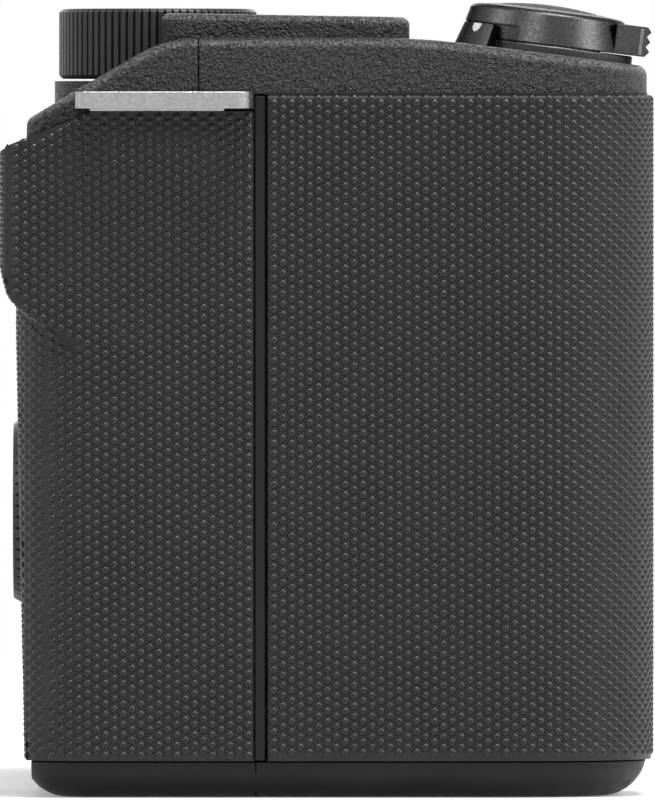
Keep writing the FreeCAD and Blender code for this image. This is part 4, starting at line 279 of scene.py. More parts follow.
def blasted_steel(name, colour, roughness, depth=0.012 * MM, edge=0.12 * MM):
    look = Look(name, colour, roughness, metallic=1.0).soften(edge)
    look.tint(look.noise(0.2 * MM, 3), 0.10)
    look.roughen(look.noise(0.5 * MM, 3), 0.08)
    return look.bump(look.noise(0.09 * MM), depth, 0.8)


def turned_steel(name):
    """Steel of the lens mount, with fine lathe rings round the lens axis."""
    look = Look(name, (0.50, 0.50, 0.505), 0.30, metallic=1.0).soften(0.08 * MM)
    look.tint(look.noise(6 * MM), 0.04)
    look.roughen(look.noise(4 * MM), 0.03)
    rings = look.turning((0, 0, LENS_AXIS_LEVEL_MM * MM), 0.35 * MM, "Y")
    return look.bump(rings, 0.003 * MM, 0.15)


def coated_metal(name, colour, roughness, specular=0.5):
    look = Look(name, colour, roughness, specular=specular, Coat_Weight=0.08, Coat_Roughness=0.35)
    look.soften(0.08 * MM)
    look.tint(look.noise(3 * MM, 3), 0.10)
    look.roughen(look.noise(0.4 * MM, 3), 0.06)
    return look.bump(look.noise(0.12 * MM), 0.012 * MM, 0.7)


def anodised(name, colour, roughness=0.28):
    """Dark anodised aluminium, which mirrors the lamps softly in its own tone."""
    grazing = (0.30, 0.30, 0.30, 1.0)
    look = Look(name, colour, roughness, metallic=1.0, Specular_Tint=grazing).soften(0.14 * MM)
    look.tint(look.noise(0.22 * MM, 3), 0.16)
    look.roughen(look.noise(0.3 * MM, 3), 0.07)
    return look.bump(look.noise(0.13 * MM), 0.02 * MM, 0.8)


def dial_metal(name):
    look = Look(name, (0.021, 0.021, 0.0215), 0.34, specular=0.28).soften(0.05 * MM)
    look.tint(look.noise(3 * MM, 3), 0.10)
    look.roughen(look.noise(0.4 * MM, 3), 0.06)
    return look.bump(look.turning(DIAL_AXIS, 0.25 * MM, "Z"), 0.004 * MM, 0.6)


def circuit_board(name):
    look = Look(name, (0.012, 0.075, 0.035), 0.42).soften(0.05 * MM)
    look.tint(look.noise(2.5 * MM, 4), 0.25)
    tracks = look.node("ShaderNodeTexBrick", Scale=420.0)
    look.link(look.place, tracks.inputs["Vector"])
    return look.bump(tracks.outputs["Fac"], 0.02 * MM, 0.5)


def sensor_glass(name):
    look = Look(name, (0.55, 0.72, 0.80), 0.04, specular=0.6, Alpha=0.38,
                Coat_Weight=0.6, Coat_Roughness=0.03)
    look.tint(look.noise(20 * MM, 1), 0.15)
    return look.roughen(look.noise(6 * MM), 0.015)


def sensor_face(name):
    look = Look(name, (0.030, 0.036, 0.050), 0.22, specular=0.7)
    look.tint(look.noise(14 * MM), 0.35)
    return look.roughen(look.noise(4 * MM), 0.04)


def panel_glass(name, colour=(0.0045, 0.0045, 0.0055), roughness=0.07, cloud=30 * MM):
    look = Look(name, colour, roughness, specular=0.4, Coat_Weight=0.2, Coat_Roughness=0.04)
    look.tint(look.noise(cloud), 0.2)
    return look.roughen(look.noise(9 * MM, 3), 0.02)


def lamp_glass(name):
    look = Look(name, (0.11, 0.018, 0.012), 0.12, Coat_Weight=0.5)
    look.tint(look.noise(1.2 * MM), 0.3)
    return look.roughen(look.noise(2 * MM), 0.04)


def printed_ink(name, colour):
    look = Look(name, colour, 0.55, specular=0.3)
    look.tint(look.noise(0.3 * MM), 0.04)
    return look.roughen(look.noise(0.5 * MM), 0.05)


# Looks of the record's slots, by their maker.
BLACK = (0.012, 0.012, 0.0125)
PLASTICS = {
    "base_plastic": dict(colour=(0.0145, 0.0145, 0.015), roughness=0.48, specular=0.13),
    "inner_plastic": dict(colour=(0.011, 0.011, 0.012), roughness=0.60, specular=0.20),
    "wheel_plastic": dict(colour=BLACK, roughness=0.40, specular=0.35, edge=0.08 * MM),
    "button_plastic": dict(colour=(0.016, 0.016, 0.0165), roughness=0.42, specular=0.35),
    "record_plastic": dict(colour=(0.33, 0.012, 0.010), roughness=0.34, specular=0.40),
    "battery_plastic": dict(colour=(0.10, 0.10, 0.105), roughness=0.50, specular=0.40),
    "jack_plastic": dict(colour=BLACK, roughness=0.35, specular=0.50),
    "bezel_plastic": dict(colour=BLACK, roughness=0.36, specular=0.40),
}
RUBBERS = {
    "grip_rubber": dict(colour=(0.024, 0.024, 0.0246), roughness=0.44, specular=0.17),
    "seal_rubber": dict(colour=BLACK, roughness=0.55),
    "door_rubber": dict(colour=(0.013, 0.013, 0.0135), roughness=0.50),
}
BLASTED_STEELS = {
    "satin_steel": dict(colour=(0.34, 0.34, 0.344), roughness=0.30, edge=0.18 * MM),
    "screw_steel": dict(colour=(0.30, 0.30, 0.31), roughness=0.30),
    "gold_contact": dict(colour=(0.80, 0.56, 0.22), roughness=0.22, depth=0.004 * MM),
    "socket_steel": dict(colour=(0.50, 0.50, 0.51), roughness=0.30),
}
COATED_METALS = {
    "chassis_magnesium": dict(colour=(0.022, 0.022, 0.024), roughness=0.50, specular=0.35),
    "shoe_steel": dict(colour=(0.022, 0.022, 0.023), roughness=0.36),
    "hinge_metal": dict(colour=(0.022, 0.022, 0.023), roughness=0.42),
}
ANODISED_METALS = {
    "lever_metal": dict(colour=(0.062, 0.062, 0.063)),
    "button_metal": dict(colour=(0.055, 0.055, 0.056), roughness=0.40),
}
# Looks that serve one slot alone.
SINGLE_LOOKS = {
    "cover_plastic": grained_plastic,
    "mount_steel": turned_steel,
    "dial_metal": dial_metal,
    "circuit_board": circuit_board,
    "sensor_ceramic": sensor_face,
    "sensor_glass": sensor_glass,
    "screen_glass": panel_glass,
    "lamp_window": lamp_glass,
}
painted = {slot: make(slot).material for slot, make in SINGLE_LOOKS.items()}
for make, settings_of in ((smooth_plastic, PLASTICS), (soft_rubber, RUBBERS),
                          (blasted_steel, BLASTED_STEELS), (coated_metal, COATED_METALS),
                          (anodised, ANODISED_METALS)):
    for slot, settings in settings_of.items():
        painted[slot] = make(slot, **settings).material

slot_of = {part["node"]: part["material_slot"] for part in frame["record"]["subparts"]}
for name, thing in nodes.items():
    thing.data.materials.clear()
    thing.data.materials.append(painted[slot_of[name]])

# The dots take a near-black, glossier copy of the grip rubber: its dark colour is painted shade
# that darkens the dots against the field.
shaded_dot_rubber = soft_rubber("shaded_dot_rubber", (0.0020, 0.0020, 0.0022), 0.30, 0.38).material
# A lighter copy of the lever's anodised metal, for the painted highlight on the tab's edge.
tab_highlight_metal = anodised("tab_highlight_metal", (0.17, 0.17, 0.172), 0.40).material
display_glass = panel_glass("display_glass", (0.006, 0.0065, 0.008), 0.10, 24 * MM).material
white_ink = printed_ink("white_ink", (0.72, 0.72, 0.72)).material
grey_ink = printed_ink("grey_ink", (0.30, 0.30, 0.30)).material
# Black ink for the painted shade of the base screws' cross recesses.
recess_shade_ink = printed_ink("recess_shade_ink", (0.004, 0.004, 0.004)).material


# Helpers for pieces.

# Faces of a box whose vertices run x, y, z with z fastest.
BOX_FACES = ((0, 1, 3, 2), (4, 6, 7, 5), (0, 4, 5, 1), (2, 3, 7, 6), (0, 2, 6, 4), (1, 5, 7, 3))


def mesh_piece(name, verts, faces, slot, body="root", smooth=True, material=None):
    mesh = bpy.data.meshes.new(name)
    mesh.from_pydata([tuple(v) for v in verts], [], faces)
    mesh.validate()
    mesh.update()
    thing = bpy.data.objects.new(name, mesh)
    bpy.context.scene.collection.objects.link(thing)
    mesh.materials.append(material or painted[slot])
    if smooth:
        for polygon in mesh.polygons:
            polygon.use_smooth = True
    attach(thing, body)
    return thing


def tree_of(node):
    mesh = nodes[node].data
    return BVHTree.FromPolygons([v.co for v in mesh.vertices], [p.vertices for p in mesh.polygons])


def add_box(verts, faces, across, along, levels):
    """Add a box to a mesh, between two coordinates on each axis."""
    base = len(verts)
    verts += [Vector((x, y, z)) for x in across for y in along for z in levels]
    faces += [tuple(base + corner for corner in face) for face in BOX_FACES]


def struck(tree, start, direction, reach):
    """Where a ray meets a surface that it has to meet."""
    hit, _, _, _ = tree.ray_cast(start, direction, reach)
    if hit is None:
        raise ValueError(f"a ray from {tuple(start)} misses its surface")
    return hit


def outward_at(turn):
    """Level direction that points to the grip side at 0 and turns towards the lens side."""
    return Vector((-math.cos(turn), -math.sin(turn), 0))


# Dots of the grip rubber.

class DotField:
    """Dots set on a rubber skin by rays, kept apart and kept clear of its edges."""

    def __init__(self, node):
        self.tree = tree_of(node)
        self.sites = []
        self.cells = {}

    def cell(self, point):
        return tuple(math.floor(value / DOT_SPACING) for value in point)

    def crowded(self, point):
        home = self.cell(point)
        for shift in np.ndindex(3, 3, 3):
            key = tuple(home[axis] + shift[axis] - 1 for axis in range(3))
            if any((point - other).length < DOT_SPACING for other in self.cells.get(key, ())):
                return True
        return False

    def cast(self, start, direction, squareness=0.8):
        """Set a dot where the ray meets the skin nearly square, with skin all round it."""
        reach, lift, probe, farthest = 3 * MM, 1 * MM, 1.6 * MM, 1.8 * DOT_MARGIN
        hit, normal, _, _ = self.tree.ray_cast(start - direction * reach, direction, 2 * reach)
        if hit is None or -normal.dot(direction) < squareness or self.crowded(hit):
            return
        across = direction.orthogonal().normalized()
        along = direction.cross(across)
        for turn in range(DOT_PROBES):
            angle = 2 * math.pi * turn / DOT_PROBES
            offset = (across * math.cos(angle) + along * math.sin(angle)) * DOT_MARGIN
            near, _, _, _ = self.tree.ray_cast(hit + offset - direction * lift, direction, probe)
            if near is None or (near - hit).length > farthest:
                return
        self.sites.append((hit, normal.copy()))
        self.cells.setdefault(self.cell(hit), []).append(hit)

    def build(self, name, slot):
        """All dots as one mesh of low domes, each open where it sinks into the rubber."""
        rings = len(DOT_PROFILE) - 1
        dot = [(0.0, 0.0, DOT_PROFILE[0][1])]
        for radius, level in DOT_PROFILE[1:]:
            for step in range(DOT_AROUND):
                turn = 2 * math.pi * step / DOT_AROUND
                dot.append((radius * math.cos(turn), radius * math.sin(turn), level))
        dot = np.array(dot) * MM
        faces = [(0, 1 + step, 1 + (step + 1) % DOT_AROUND) for step in range(DOT_AROUND)]
        for ring in range(rings - 1):
            inner = 1 + ring * DOT_AROUND
            outer = inner + DOT_AROUND
            for step in range(DOT_AROUND):
                after = (step + 1) % DOT_AROUND
                faces.append((inner + step, outer + step, outer + after, inner + after))
        verts, all_faces = [], []
        for hit, normal in self.sites:
            upright = np.array(normal.to_track_quat("Z", "Y").to_matrix())
            base = len(verts)
            verts.extend(dot @ upright.T + np.array(hit))
            all_faces.extend(tuple(base + corner for corner in face) for face in faces)
        # The dots take the near-black rubber, painted shade that darkens them against the field.
        return mesh_piece(name, verts, all_faces, slot, material=shaded_dot_rubber)


def rows_between(low, high, odd):
    start = low + (DOT_ROW / 2 if odd else 0.0)
    return [start + DOT_ROW * row for row in range(int((high - start) / DOT_ROW) + 1)]


def front_dots():
    """Columns follow the outline of the grip from the trim strip round to the finger recess."""
    low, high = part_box("front_grip_rubber")
    bottom, top = low.z + 0.72 * MM, high.z - 0.23 * MM
    field = DotField("front_grip_rubber")
    side_length = high.y - (low.y + GRIP_CORNER)
    arc_length = GRIP_CORNER * math.pi / 2
    front_length = high.x + RECESS_REACH - (low.x + GRIP_CORNER)
    inner_start = (high.x + RECESS_REACH) - GRIP_INNER_CORNER
    column, along = 0, FIRST_SIDE_COLUMN
    while along < side_length + arc_length + front_length + GRIP_INNER_CORNER:
        if along < side_length:
            point, outward = Vector((low.x, high.y - along, 0)), -X
        elif along < side_length + arc_length:
            outward = outward_at((along - side_length) / GRIP_CORNER)
            centre = Vector((low.x + GRIP_CORNER, low.y + GRIP_CORNER, 0))
            point = centre + outward * GRIP_CORNER
        else:
            run = along - side_length - arc_length
            x = low.x + GRIP_CORNER + run
            if x < inner_start:
                point, outward = Vector((x, low.y, 0)), -Y
            else:
                turn = (x - inner_start) / GRIP_INNER_CORNER
                outward = Vector((math.sin(turn), -math.cos(turn), 0))
                centre = Vector((inner_start, low.y + GRIP_INNER_CORNER, 0))
                point = centre + outward * GRIP_INNER_CORNER
        for level in rows_between(bottom, top, column % 2):
            field.cast(point + Vector((0, 0, level)), -outward)
        column += 1
        along += DOT_COLUMN
    field.build("front_grip_dots", "grip_rubber")


def rear_dots():
    """Side face, thumb rest, its sloping underside and the rounded corner below it."""
    low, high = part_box("rear_grip_rubber")
    field = DotField("rear_grip_rubber")
    bottom, top = low.z + 0.45 * MM, high.z
    side_columns = int((high.y - low.y) / DOT_COLUMN) + 1
    for column in range(side_columns):
        depth = low.y + FIRST_SIDE_COLUMN + column * DOT_COLUMN
        for level in rows_between(bottom, top, column % 2):
            field.cast(Vector((low.x, depth, level)), X)
    for column in range(int((high.x - low.x) / DOT_COLUMN) + 1):
        across = low.x + FIRST_BACK_COLUMN + column * DOT_COLUMN
        for level in rows_between(bottom, top, column % 2):
            field.cast(Vector((across, high.y, level)), -Y)

    # The underside of the thumb rest climbs at 38.5 degrees, and its rows start before its middle.
    slope_columns, slope_rows, rows_before, squareness = 30, 24, 8 * MM, 0.9
    slope_depth, slope_level = 24 * MM, 38.5 * MM
    climb = Vector((0, 0.78, 0.62)).normalized()
    into_slope = Vector((0, -0.62, 0.78)).normalized()
    for column in range(slope_columns):
        across = low.x + FIRST_BACK_COLUMN + column * DOT_COLUMN
        for row in range(slope_rows):
            step = (row + (0.5 if column % 2 else 0.0)) * DOT_ROW
            foot = Vector((across, slope_depth, slope_level)) + climb * (step - rows_before)
            field.cast(foot, into_slope, squareness)

    centre = Vector((low.x + REAR_CORNER, REAR_CORNER_DEPTH - REAR_CORNER, 0))
    for column in range(int(REAR_CORNER * math.pi / 2 / DOT_COLUMN) + 1):
        turn = (column + 0.5) * DOT_COLUMN / REAR_CORNER
        outward = Vector((-math.cos(turn), math.sin(turn), 0))
        for level in rows_between(bottom, REAR_CORNER_TOP, (column + side_columns) % 2):
            field.cast(centre + outward * REAR_CORNER + Vector((0, 0, level)), -outward)
    field.build("rear_grip_dots", "grip_rubber")


def seam_shade_filler():
    """Dark sheet in the seams over the front grip, round its front corner, and behind the grip: it
    closes the gap there and stands in for the shade in the seams.
    """
    low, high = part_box("front_grip_rubber")
    overlap, inset, wide = 0.1 * MM, 0.35 * MM, 0.9 * MM
    steps, stop_before_recess = 24, 4 * MM
    bottom, top = high.z - overlap, high.z + SEAM_OVER_GRIP
    corner = Vector((low.x + GRIP_CORNER, low.y + GRIP_CORNER, 0))
    path = [(Vector((low.x, high.y, 0)), -X)]
    for step in range(steps + 1):
        outward = outward_at(math.pi / 2 * step / steps)
        path.append((corner + outward * GRIP_CORNER, outward))
    path.append((Vector((high.x - stop_before_recess, low.y, 0)), -Y))
    verts, faces = [], []
    for point, outward in path:
        for depth in (inset, inset + wide):
            for level in (bottom, top):
                verts.append(point - outward * depth + Z * level)
    for index in range(len(path) - 1):
        here, there = 4 * index, 4 * index + 4
        for first, second in ((0, 1), (1, 3), (3, 2), (2, 0)):
            faces.append((here + first, here + second, there + second, there + first))
    faces += [(0, 2, 3, 1), tuple(4 * (len(path) - 1) + corner for corner in (1, 3, 2, 0))]

    # A thin dark upright wall stands behind the seam between the grip and the trim strip, as
    # painted shade in that seam.
    wall_inset, wall_thick, before, behind, foot = 1.8 * MM, 0.2 * MM, 0.3 * MM, 0.7 * MM, 1 * MM
    add_box(verts, faces, (low.x + wall_inset, low.x + wall_inset + wall_thick),
            (high.y - before, high.y + behind), (low.z + foot, high.z - overlap))
    mesh_piece("grip_seam_filler", verts, faces, "inner_plastic", smooth=False)


# Printed marks and small plates, drawn in millimetres on the surface of a node.

def bar(across, up, wide, tall):
    return [(across + side * wide / 2, up + rise * tall / 2)
            for side, rise in ((-1, -1), (1, -1), (1, 1), (-1, 1))]


def arc(radius, start, end, steps):
    return [(radius * math.cos(turn), radius * math.sin(turn))
            for turn in np.linspace(start, end, steps + 1)]


def disc(across, up, radius, steps=24):
    return [(across + radius * math.cos(2 * math.pi * step / steps),
             up + radius * math.sin(2 * math.pi * step / steps)) for step in range(steps)]


def hoop(across, up, radius, width):
    return disc(across, up, radius), disc(across, up, radius - width)


def border(across, up, wide, tall, width):
    return bar(across, up, wide, tall), bar(across, up, wide - 2 * width, tall - 2 * width)


def pill(across, up, wide, tall):
    """Upright slot shape with round ends."""
    radius, steps = wide / 2, 8
    reach = tall / 2 - radius
    points = []
    for end, start in ((1, 0.0), (-1, math.pi)):
        for step in range(steps + 1):
            turn = math.pi * step / steps + start
            points.append((across + radius * math.cos(turn),
                           up + end * reach + radius * math.sin(turn)))
    return points


def middle_of(node):
    """Middle and high corner of a node's box, in millimetres."""
    low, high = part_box(node)
    return ((low + high) / 2) / MM, high / MM


class Plates:
    """Thin closed plates that follow a node's surface, seen along one direction."""

    START, REACH = 3 * MM, 8 * MM

    def __init__(self, node, centre, across, up, thick=0.03, sunk=0.05):
        self.tree = tree_of(node)
        self.centre = Vector(centre) * MM
        self.across, self.up = Vector(across), Vector(up)
        self.out = self.across.cross(self.up)
        self.thick, self.sunk = thick * MM, sunk * MM
        self.verts, self.faces = [], []

    def corner(self, point):
        """Indices of the upper and lower vertex at a drawn point."""
        drawn = (self.across * point[0] + self.up * point[1]) * MM
        start = self.centre + drawn + self.out * self.START
        hit = struck(self.tree, start, -self.out, self.REACH)
        self.verts += [hit + self.out * self.thick, hit - self.out * self.sunk]
        return len(self.verts) - 2, len(self.verts) - 1

    def wall(self, corners, inward=False):
        for index, (top, bottom) in enumerate(corners):
            next_top, next_bottom = corners[(index + 1) % len(corners)]
            face = (bottom, next_bottom, next_top, top)
            self.faces.append(face[::-1] if inward else face)

    def add(self, *drawings):
        """Add plates: a list of points is one outline, a pair of lists an outline with a hole."""
        for drawing in drawings:
            if isinstance(drawing, tuple):
                outer, inner = ([self.corner(point) for point in outline] for outline in drawing)
                self.wall(outer)
                self.wall(inner, inward=True)
                for index in range(len(outer)):
                    after = (index + 1) % len(outer)
                    (a_top, a_low), (b_top, b_low) = outer[index], outer[after]
                    (c_top, c_low), (d_top, d_low) = inner[after], inner[index]
                    self.faces += [(a_top, b_top, c_top, d_top), (b_low, a_low, d_low, c_low)]
            else:
                corners = [self.corner(point) for point in drawing]
                self.wall(corners)
                self.faces.append([top for top, _ in corners])
                self.faces.append([bottom for _, bottom in reversed(corners)])
        return self

    def build(self, name, slot, body="root", material=None):
        mesh_piece(name, self.verts, self.faces, slot, body, smooth=False, material=material)


def index_mark():
    """White mark on the fixed index beside the zoom lever, wrapped round its cone.

    It is square above and round below, and fans out from a middle vertex.
    """
    angle, level, far, probe = math.radians(34.0), 1.55 * MM, 10 * MM, 5 * MM
    radius, top, round_centre, steps = 0.57, 0.36, 0.2, 12
    thick, sunk = 0.03 * MM, 0.06 * MM
    tree = tree_of("shutter_seat")
    tilt = Matrix.Rotation(SHUTTER_TILT, 3, "X")
    outward = tilt @ Vector((-math.sin(angle), math.cos(angle), 0))
    up = tilt @ Z
    across = up.cross(outward)
    middle = SHUTTER_AXIS_FOOT + up * level
    outline = [(radius, top), (-radius, top)]
    outline += [(side, round_centre + rise)
                for side, rise in arc(radius, math.pi, 2 * math.pi, steps)]
    verts, faces = [], []
    for height, points in ((thick, outline), (-sunk, outline), (thick, [(0.0, 0.0)])):
        for side, rise in points:
            start = middle + outward * far + (across * side + up * rise) * MM
            verts.append(struck(tree, start, -outward, probe) + outward * height)
    count = len(outline)
    for index in range(count):
        after = (index + 1) % count
        faces.append((index, after, 2 * count))
        faces.append((count + index, count + after, after, index))
    mesh_piece("index_mark", verts, faces, "satin_steel", smooth=False, material=white_ink)


def tab_edge_highlight():
    """Painted highlight beside the notches of the zoom lever's tab: a strip lighter than the
    lever, where its bevelled edge would catch the light.
    """
    out_from_axis, level, wide, tall, beyond_tab = 8.04, 1.97, 0.30, 2.2, 3
    across = Vector((0, -math.cos(SHUTTER_TILT), -math.sin(SHUTTER_TILT)))
    up = Vector((0, -math.sin(SHUTTER_TILT), math.cos(SHUTTER_TILT)))
    plates = Plates("zoom_lever", SHUTTER_AXIS_FOOT / MM - beyond_tab * X, across, up)
    plates.add(bar(out_from_axis, level, wide, tall))
    plates.build("tab_edge_highlight", "lever_metal", "zoom", tab_highlight_metal)


def button_icons():
    """Generic pictures on the rear buttons and round the control wheel."""
    drawings = {
        "menu": [bar(0, rise, 2.2, 0.28) for rise in (-0.75, 0, 0.75)],
        "playback": [border(0, 0, 3.0, 2.2, 0.2), [(-0.42, -0.6), (0.62, 0), (-0.42, 0.6)]],
        "delete": [[(-0.8, 0.55), (-0.55, -1.1), (0.55, -1.1), (0.8, 0.55)],
                   bar(0, 0.95, 2.1, 0.26), bar(0, 1.25, 0.8, 0.24)],
        "function": [disc(side * 0.62, rise * 0.62, 0.32, 12)
                     for side in (-1, 1) for rise in (-1, 1)],
    }
    for body, drawing in drawings.items():
        node = body + "_button"
        centre, high = middle_of(node)
        plates = Plates(node, (centre.x, high.y, centre.z), -X, Z)
        plates.add(*drawing).build(node + "_icon", "button_plastic", body, white_ink)

    # Frame, timer, lines and dashes stand at the four sides of the wheel.
    centre, high = middle_of("control_wheel")
    reach, line = 9.7, 0.18
    ring = Plates("rear_cover", (centre.x, high.y, centre.z), -X, Z)
    ring.add(border(0, reach, 1.7, 1.1, line))
    ring.add(hoop(reach, 0, 0.75, line), bar(reach + 0.12, 0.16, 0.16, 0.5))
    ring.add(*(bar(-reach, rise, 1.3, line) for rise in (0.35, 0, -0.35)))
    ring.add(bar(-0.7, -reach, 0.9, line), bar(0.8, -reach, 0.9, line))
    ring.build("wheel_marks", "button_plastic", material=white_ink)


def top_marks():
    """Sensor plane mark on the plateau, and the marks of the mode button and power switch."""
    mark_across, plateau_level = -29.3, 66.5
    plane = Plates("top_cover", (mark_across, SENSOR_PLANE_DEPTH_MM, plateau_level), X, Y)
    plane.add(hoop(0, 0, 0.85, 0.16), bar(0, 0, 3.1, 0.16))
    plane.build("sensor_plane_mark", "cover_plastic", material=white_ink)

    centre, high = middle_of("mode_button")
    mode = Plates("mode_button", (centre.x, centre.y, high.z), X, Y)
    mode.add(border(0, 0, 2.4, 1.7, 0.2), disc(0, 0, 0.36, 16))
    mode.build("mode_button_icon", "button_plastic", "mode", white_ink)

    travel, clear = 3.6, 1.5
    centre, high = middle_of("power_switch")
    switch = Plates("top_cover", (centre.x + travel, high.y + clear, high.z), X, Y)
    switch.add(disc(0, 0, 0.42, 16))
    switch.build("power_on_mark", "cover_plastic", material=white_ink)


def mount_mark():
    """White dot on the mount ring that lines a lens up."""
    angle, circle, radius = math.radians(66), 26.6, 0.95
    level = LENS_AXIS_LEVEL_MM + circle * math.sin(angle)
    ring = Plates("lens_mount_ring", (circle * math.cos(angle), MOUNT_FACE_DEPTH_MM, level), X, Z)
    ring.add(disc(0, 0, radius))
    ring.build("lens_alignment_dot", "mount_steel", material=white_ink)


def shoe_contacts():
    """Gold contacts in the floor of the accessory shoe, one large and four small."""
    large, small, across, along = 1.7, 0.75, 3.4, 2.2
    centre, high = middle_of("hot_shoe_base")
    plates = Plates("hot_shoe_base", (centre.x, centre.y, high.z), X, Y, thick=0.08)
    plates.add(disc(0, 0, large, 32))
    plates.add(*(disc(side * across, rise, small, 20)
                 for side in (-1, 1) for rise in (-along, along)))
    plates.build("shoe_contacts", "gold_contact")


def base_marks():
    """Black crosses on the base screws, painted shade that stands in for their cross recesses, and
    the arrow beside the battery latch.
    """
    screw_columns, screw_rows, long, narrow = (-27.0, 37.0), (-6.5, 17.0), 1.5, 0.32
    plates = Plates("base_screws", (0, 0, 0), X, -Y, thick=0.012)
    for across in screw_columns:
        for depth in screw_rows:
            plates.add(bar(across, -depth, long, narrow), bar(across, -depth, narrow, long))
    plates.build("base_screw_crosses", "screw_steel", material=recess_shade_ink)

    clear_of_travel = 5.2
    centre, high = middle_of("battery_door_latch")
    arrow = Plates("battery_door", (centre.x, high.y + clear_of_travel, 0), X, -Y)
    arrow.add([(-0.9, 0.5), (0, -1.0), (0.9, 0.5)])
    arrow.build("latch_arrow", "base_plastic", "battery_door", white_ink)


def door_icons():
    """Microphone and headphone pictures on the port doors, ahead of the doors' middles."""
    ahead = 1.5
    microphone = [pill(0, 0.35, 0.9, 1.9), bar(0, -1.15, 0.2, 0.7), bar(0, -1.5, 1.2, 0.2)]
    band = arc(1.15, 0, math.pi, 12) + arc(0.93, math.pi, 0, 12)
    headphones = [band, bar(-1.04, -0.35, 0.5, 0.9), bar(1.04, -0.35, 0.5, 0.9)]
    for side, level, drawing in (("upper", 45.8, microphone), ("lower", 31.8, headphones)):
        node = side + "_port_door"
        centre, high = middle_of(node)
        plates = Plates(node, (high.x, centre.y - ahead, level), Y, Z)
        plates.add(*drawing).build(node + "_icon", "door_rubber", side + "_door", grey_ink)


def plug_contacts():
    """Gold strips on both sides of the tongues of the two flat sockets."""
    tongue_half, sunk, proud, half_wide = 0.3 * MM, 0.02 * MM, 0.03 * MM, 0.16 * MM
    start_inside, end_inside = 4.5 * MM, 1.2 * MM
    for node, strips, pitch in (("usb_socket", 6, 0.85 * MM), ("hdmi_socket", 5, 0.7 * MM)):
        low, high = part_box(node)
        middle = (low + high) / 2
        verts, faces = [], []
        for index in range(strips):
            across = middle.y + (index - (strips - 1) / 2) * pitch
            for side in (-1, 1):
                level = middle.z + side * tongue_half
                add_box(verts, faces, (high.x - start_inside, high.x - end_inside),
                        (across - half_wide, across + half_wide),
                        sorted((level - side * sunk, level + side * proud)))
        mesh_piece(node + "_contacts", verts, faces, "gold_contact", smooth=False)


def tripod_thread():
    """Helical ridge of a quarter inch thread inside the tripod socket."""
    pitch, root, crest, turns, steps, first_level = 1.27, 3.2, 2.78, 4.5, 40, 0.65
    profile = ((root, -0.5), (crest, -0.08), (crest, 0.08), (root, 0.5))
    count = int(turns * steps)
    verts, faces = [], []
    for index in range(count + 1):
        turn = 2 * math.pi * index / steps
        level = first_level + pitch * index / steps
        for radius, rise in profile:
            point = Vector((radius * math.cos(turn), radius * math.sin(turn), level + rise))
            verts.append(point * MM)
    for index in range(count):
        here, there = 4 * index, 4 * index + 4
        for corner in range(4):
            after = (corner + 1) % 4
            faces.append((here + corner, here + after, there + after, there + corner))
    faces += [(3, 2, 1, 0), (4 * count, 4 * count + 1, 4 * count + 2, 4 * count + 3)]
    mesh_piece("tripod_thread", verts, faces, "socket_steel")


def display_area():
    """The lit area of the monitor, a shade lighter than its black surround."""
    side_margins, end_margins = 3.4, 3.0
    centre, high = middle_of("monitor_screen")
    size = 2 * (high - centre)
    plates = Plates("monitor_screen", (centre.x, high.y, centre.z), -X, Z, thick=0.012, sunk=0.02)
    plates.add(bar(0, 0, size.x - side_margins, size.z - end_margins))
    plates.build("display_area", "screen_glass", "monitor", display_glass)


front_dots()
rear_dots()
seam_shade_filler()
index_mark()
tab_edge_highlight()
button_icons()
top_marks()
mount_mark()
shoe_contacts()
base_marks()
door_icons()
plug_contacts()
tripod_thread()
display_area()


# Stage, lights and camera.

MIDDLE = Vector((-0.02, 0.0, 0.035))
WHITE = (1.0, 1.0, 1.0, 1.0)
WORLD_FILL = 0.18
PAPER = (0.80, 0.80, 0.80, 1.0)
PAPER_GLOW = 0.25
PAPER_RADIUS = 0.6
PAPER_BELOW_BASE = 0.02 * MM
# Azimuth and elevation in degrees, distance from MIDDLE and size in metres, and radiance.
SOFTBOXES = {
    "front_softbox": (68, 33, 0.8, (0.36, 0.54), 7.0),
    "side_softbox": (-14, 30, 0.9, (0.24, 0.22), 5.0),
    "top_softbox": (36, 73, 0.8, (0.54, 0.20), 22.0),
    "rear_softbox": (-70, 28, 0.8, (0.40, 0.45), 2.6),
    "port_softbox": (180, 28, 0.8, (0.50, 0.50), 2.2),
}


def white_to_the_eye(tree, elsewhere, plain):
    """The plain strength where it is seen directly, in gloss or through glass, else another."""
    path = tree.nodes.new("ShaderNodeLightPath")
    seen = path.outputs["Is Camera Ray"]
    for name in ("Is Glossy Ray", "Is Transmission Ray"):
        either = tree.nodes.new("ShaderNodeMath")
        either.operation = "MAXIMUM"
        tree.links.new(seen, either.inputs[0])
        tree.links.new(path.outputs[name], either.inputs[1])
        seen = either.outputs[0]
    spread = tree.nodes.new("ShaderNodeMapRange")
    spread.inputs["To Min"].default_value = elsewhere
    spread.inputs["To Max"].default_value = plain
    tree.links.new(seen, spread.inputs["Value"])
    return spread.outputs["Result"]


def world():
    made = bpy.data.worlds.new("studio")
    made.use_nodes = True
    background = made.node_tree.nodes["Background"]
    background.inputs["Color"].default_value = WHITE
    strength = white_to_the_eye(made.node_tree, WORLD_FILL, 1.0)
    made.node_tree.links.new(strength, background.inputs["Strength"])
    bpy.context.scene.world = made


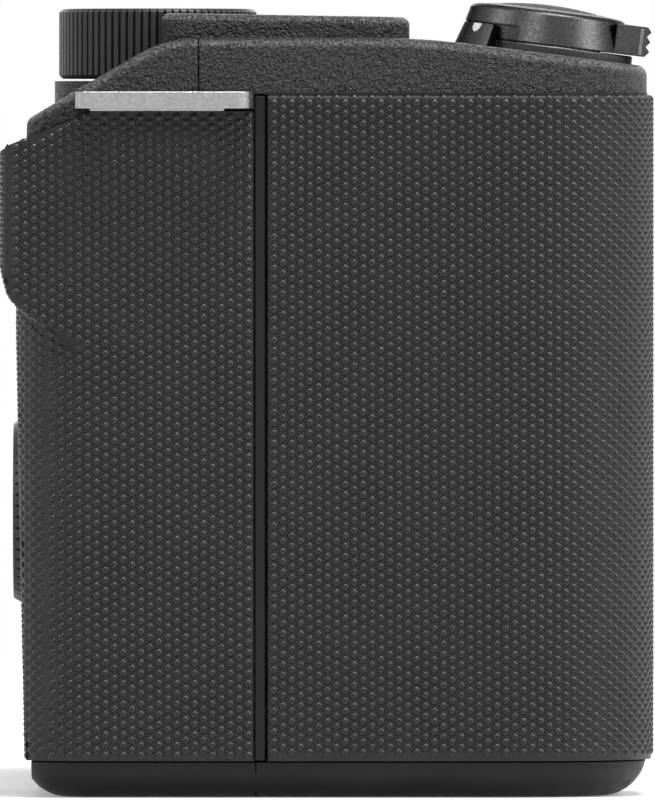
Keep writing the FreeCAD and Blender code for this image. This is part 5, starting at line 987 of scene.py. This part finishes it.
def floor():
    mesh = bpy.data.meshes.new("floor")
    shape = bmesh.new()
    bmesh.ops.create_circle(shape, cap_ends=True, radius=PAPER_RADIUS, segments=96)
    shape.to_mesh(mesh)
    shape.free()
    thing = bpy.data.objects.new("floor", mesh)
    thing.location.z = -PAPER_BELOW_BASE
    bpy.context.scene.collection.objects.link(thing)
    material = bpy.data.materials.new("floor_paper")
    material.use_nodes = True
    shader = material.node_tree.nodes["Principled BSDF"]
    shader.inputs["Base Color"].default_value = PAPER
    shader.inputs["Roughness"].default_value = 0.9
    shader.inputs["Specular IOR Level"].default_value = 0.1
    shader.inputs["Emission Color"].default_value = WHITE
    strength = white_to_the_eye(material.node_tree, 0.0, PAPER_GLOW)
    material.node_tree.links.new(strength, shader.inputs["Emission Strength"])
    mesh.materials.append(material)


def softbox(name, azimuth, elevation, distance, size, radiance):
    """Lamp panel that faces MIDDLE; azimuth 0 is the grip side and 90 the lens side."""
    rise = math.radians(elevation)
    direction = outward_at(math.radians(azimuth)) * math.cos(rise) + Z * math.sin(rise)
    data = bpy.data.lights.new(name, "AREA")
    data.shape = "RECTANGLE"
    data.size, data.size_y = size
    data.energy = radiance * math.pi * size[0] * size[1]
    thing = bpy.data.objects.new(name, data)
    thing.location = MIDDLE + direction * distance
    thing.rotation_mode = "QUATERNION"
    thing.rotation_quaternion = (-direction).to_track_quat("-Z", "Y")
    bpy.context.scene.collection.objects.link(thing)


def camera():
    data = bpy.data.cameras.new("camera")
    data.type = "PERSP"
    data.sensor_width = SENSOR
    data.lens = SENSOR * CAMERA_DISTANCE / (PICTURE_HEIGHT_MM * MM)
    data.clip_start, data.clip_end = CAMERA_CLIP
    thing = bpy.data.objects.new("camera", data)
    low, _ = cad_box
    target = Vector((low.x + LUG_REACH_MM * MM, PICTURE_CENTRE_DEPTH_MM * MM,
                     PICTURE_CENTRE_LEVEL_MM * MM))
    rise = math.radians(CAMERA_ELEVATION)
    back = Vector((-math.cos(rise), 0, math.sin(rise)))
    thing.location = target + back * CAMERA_DISTANCE
    thing.rotation_mode = "QUATERNION"
    thing.rotation_quaternion = (-back).to_track_quat("-Z", "Y")
    bpy.context.scene.collection.objects.link(thing)
    bpy.context.scene.camera = thing


world()
floor()
for name, settings in SOFTBOXES.items():
    softbox(name, *settings)
camera()
bpy.context.scene.view_settings.view_transform = "Standard"
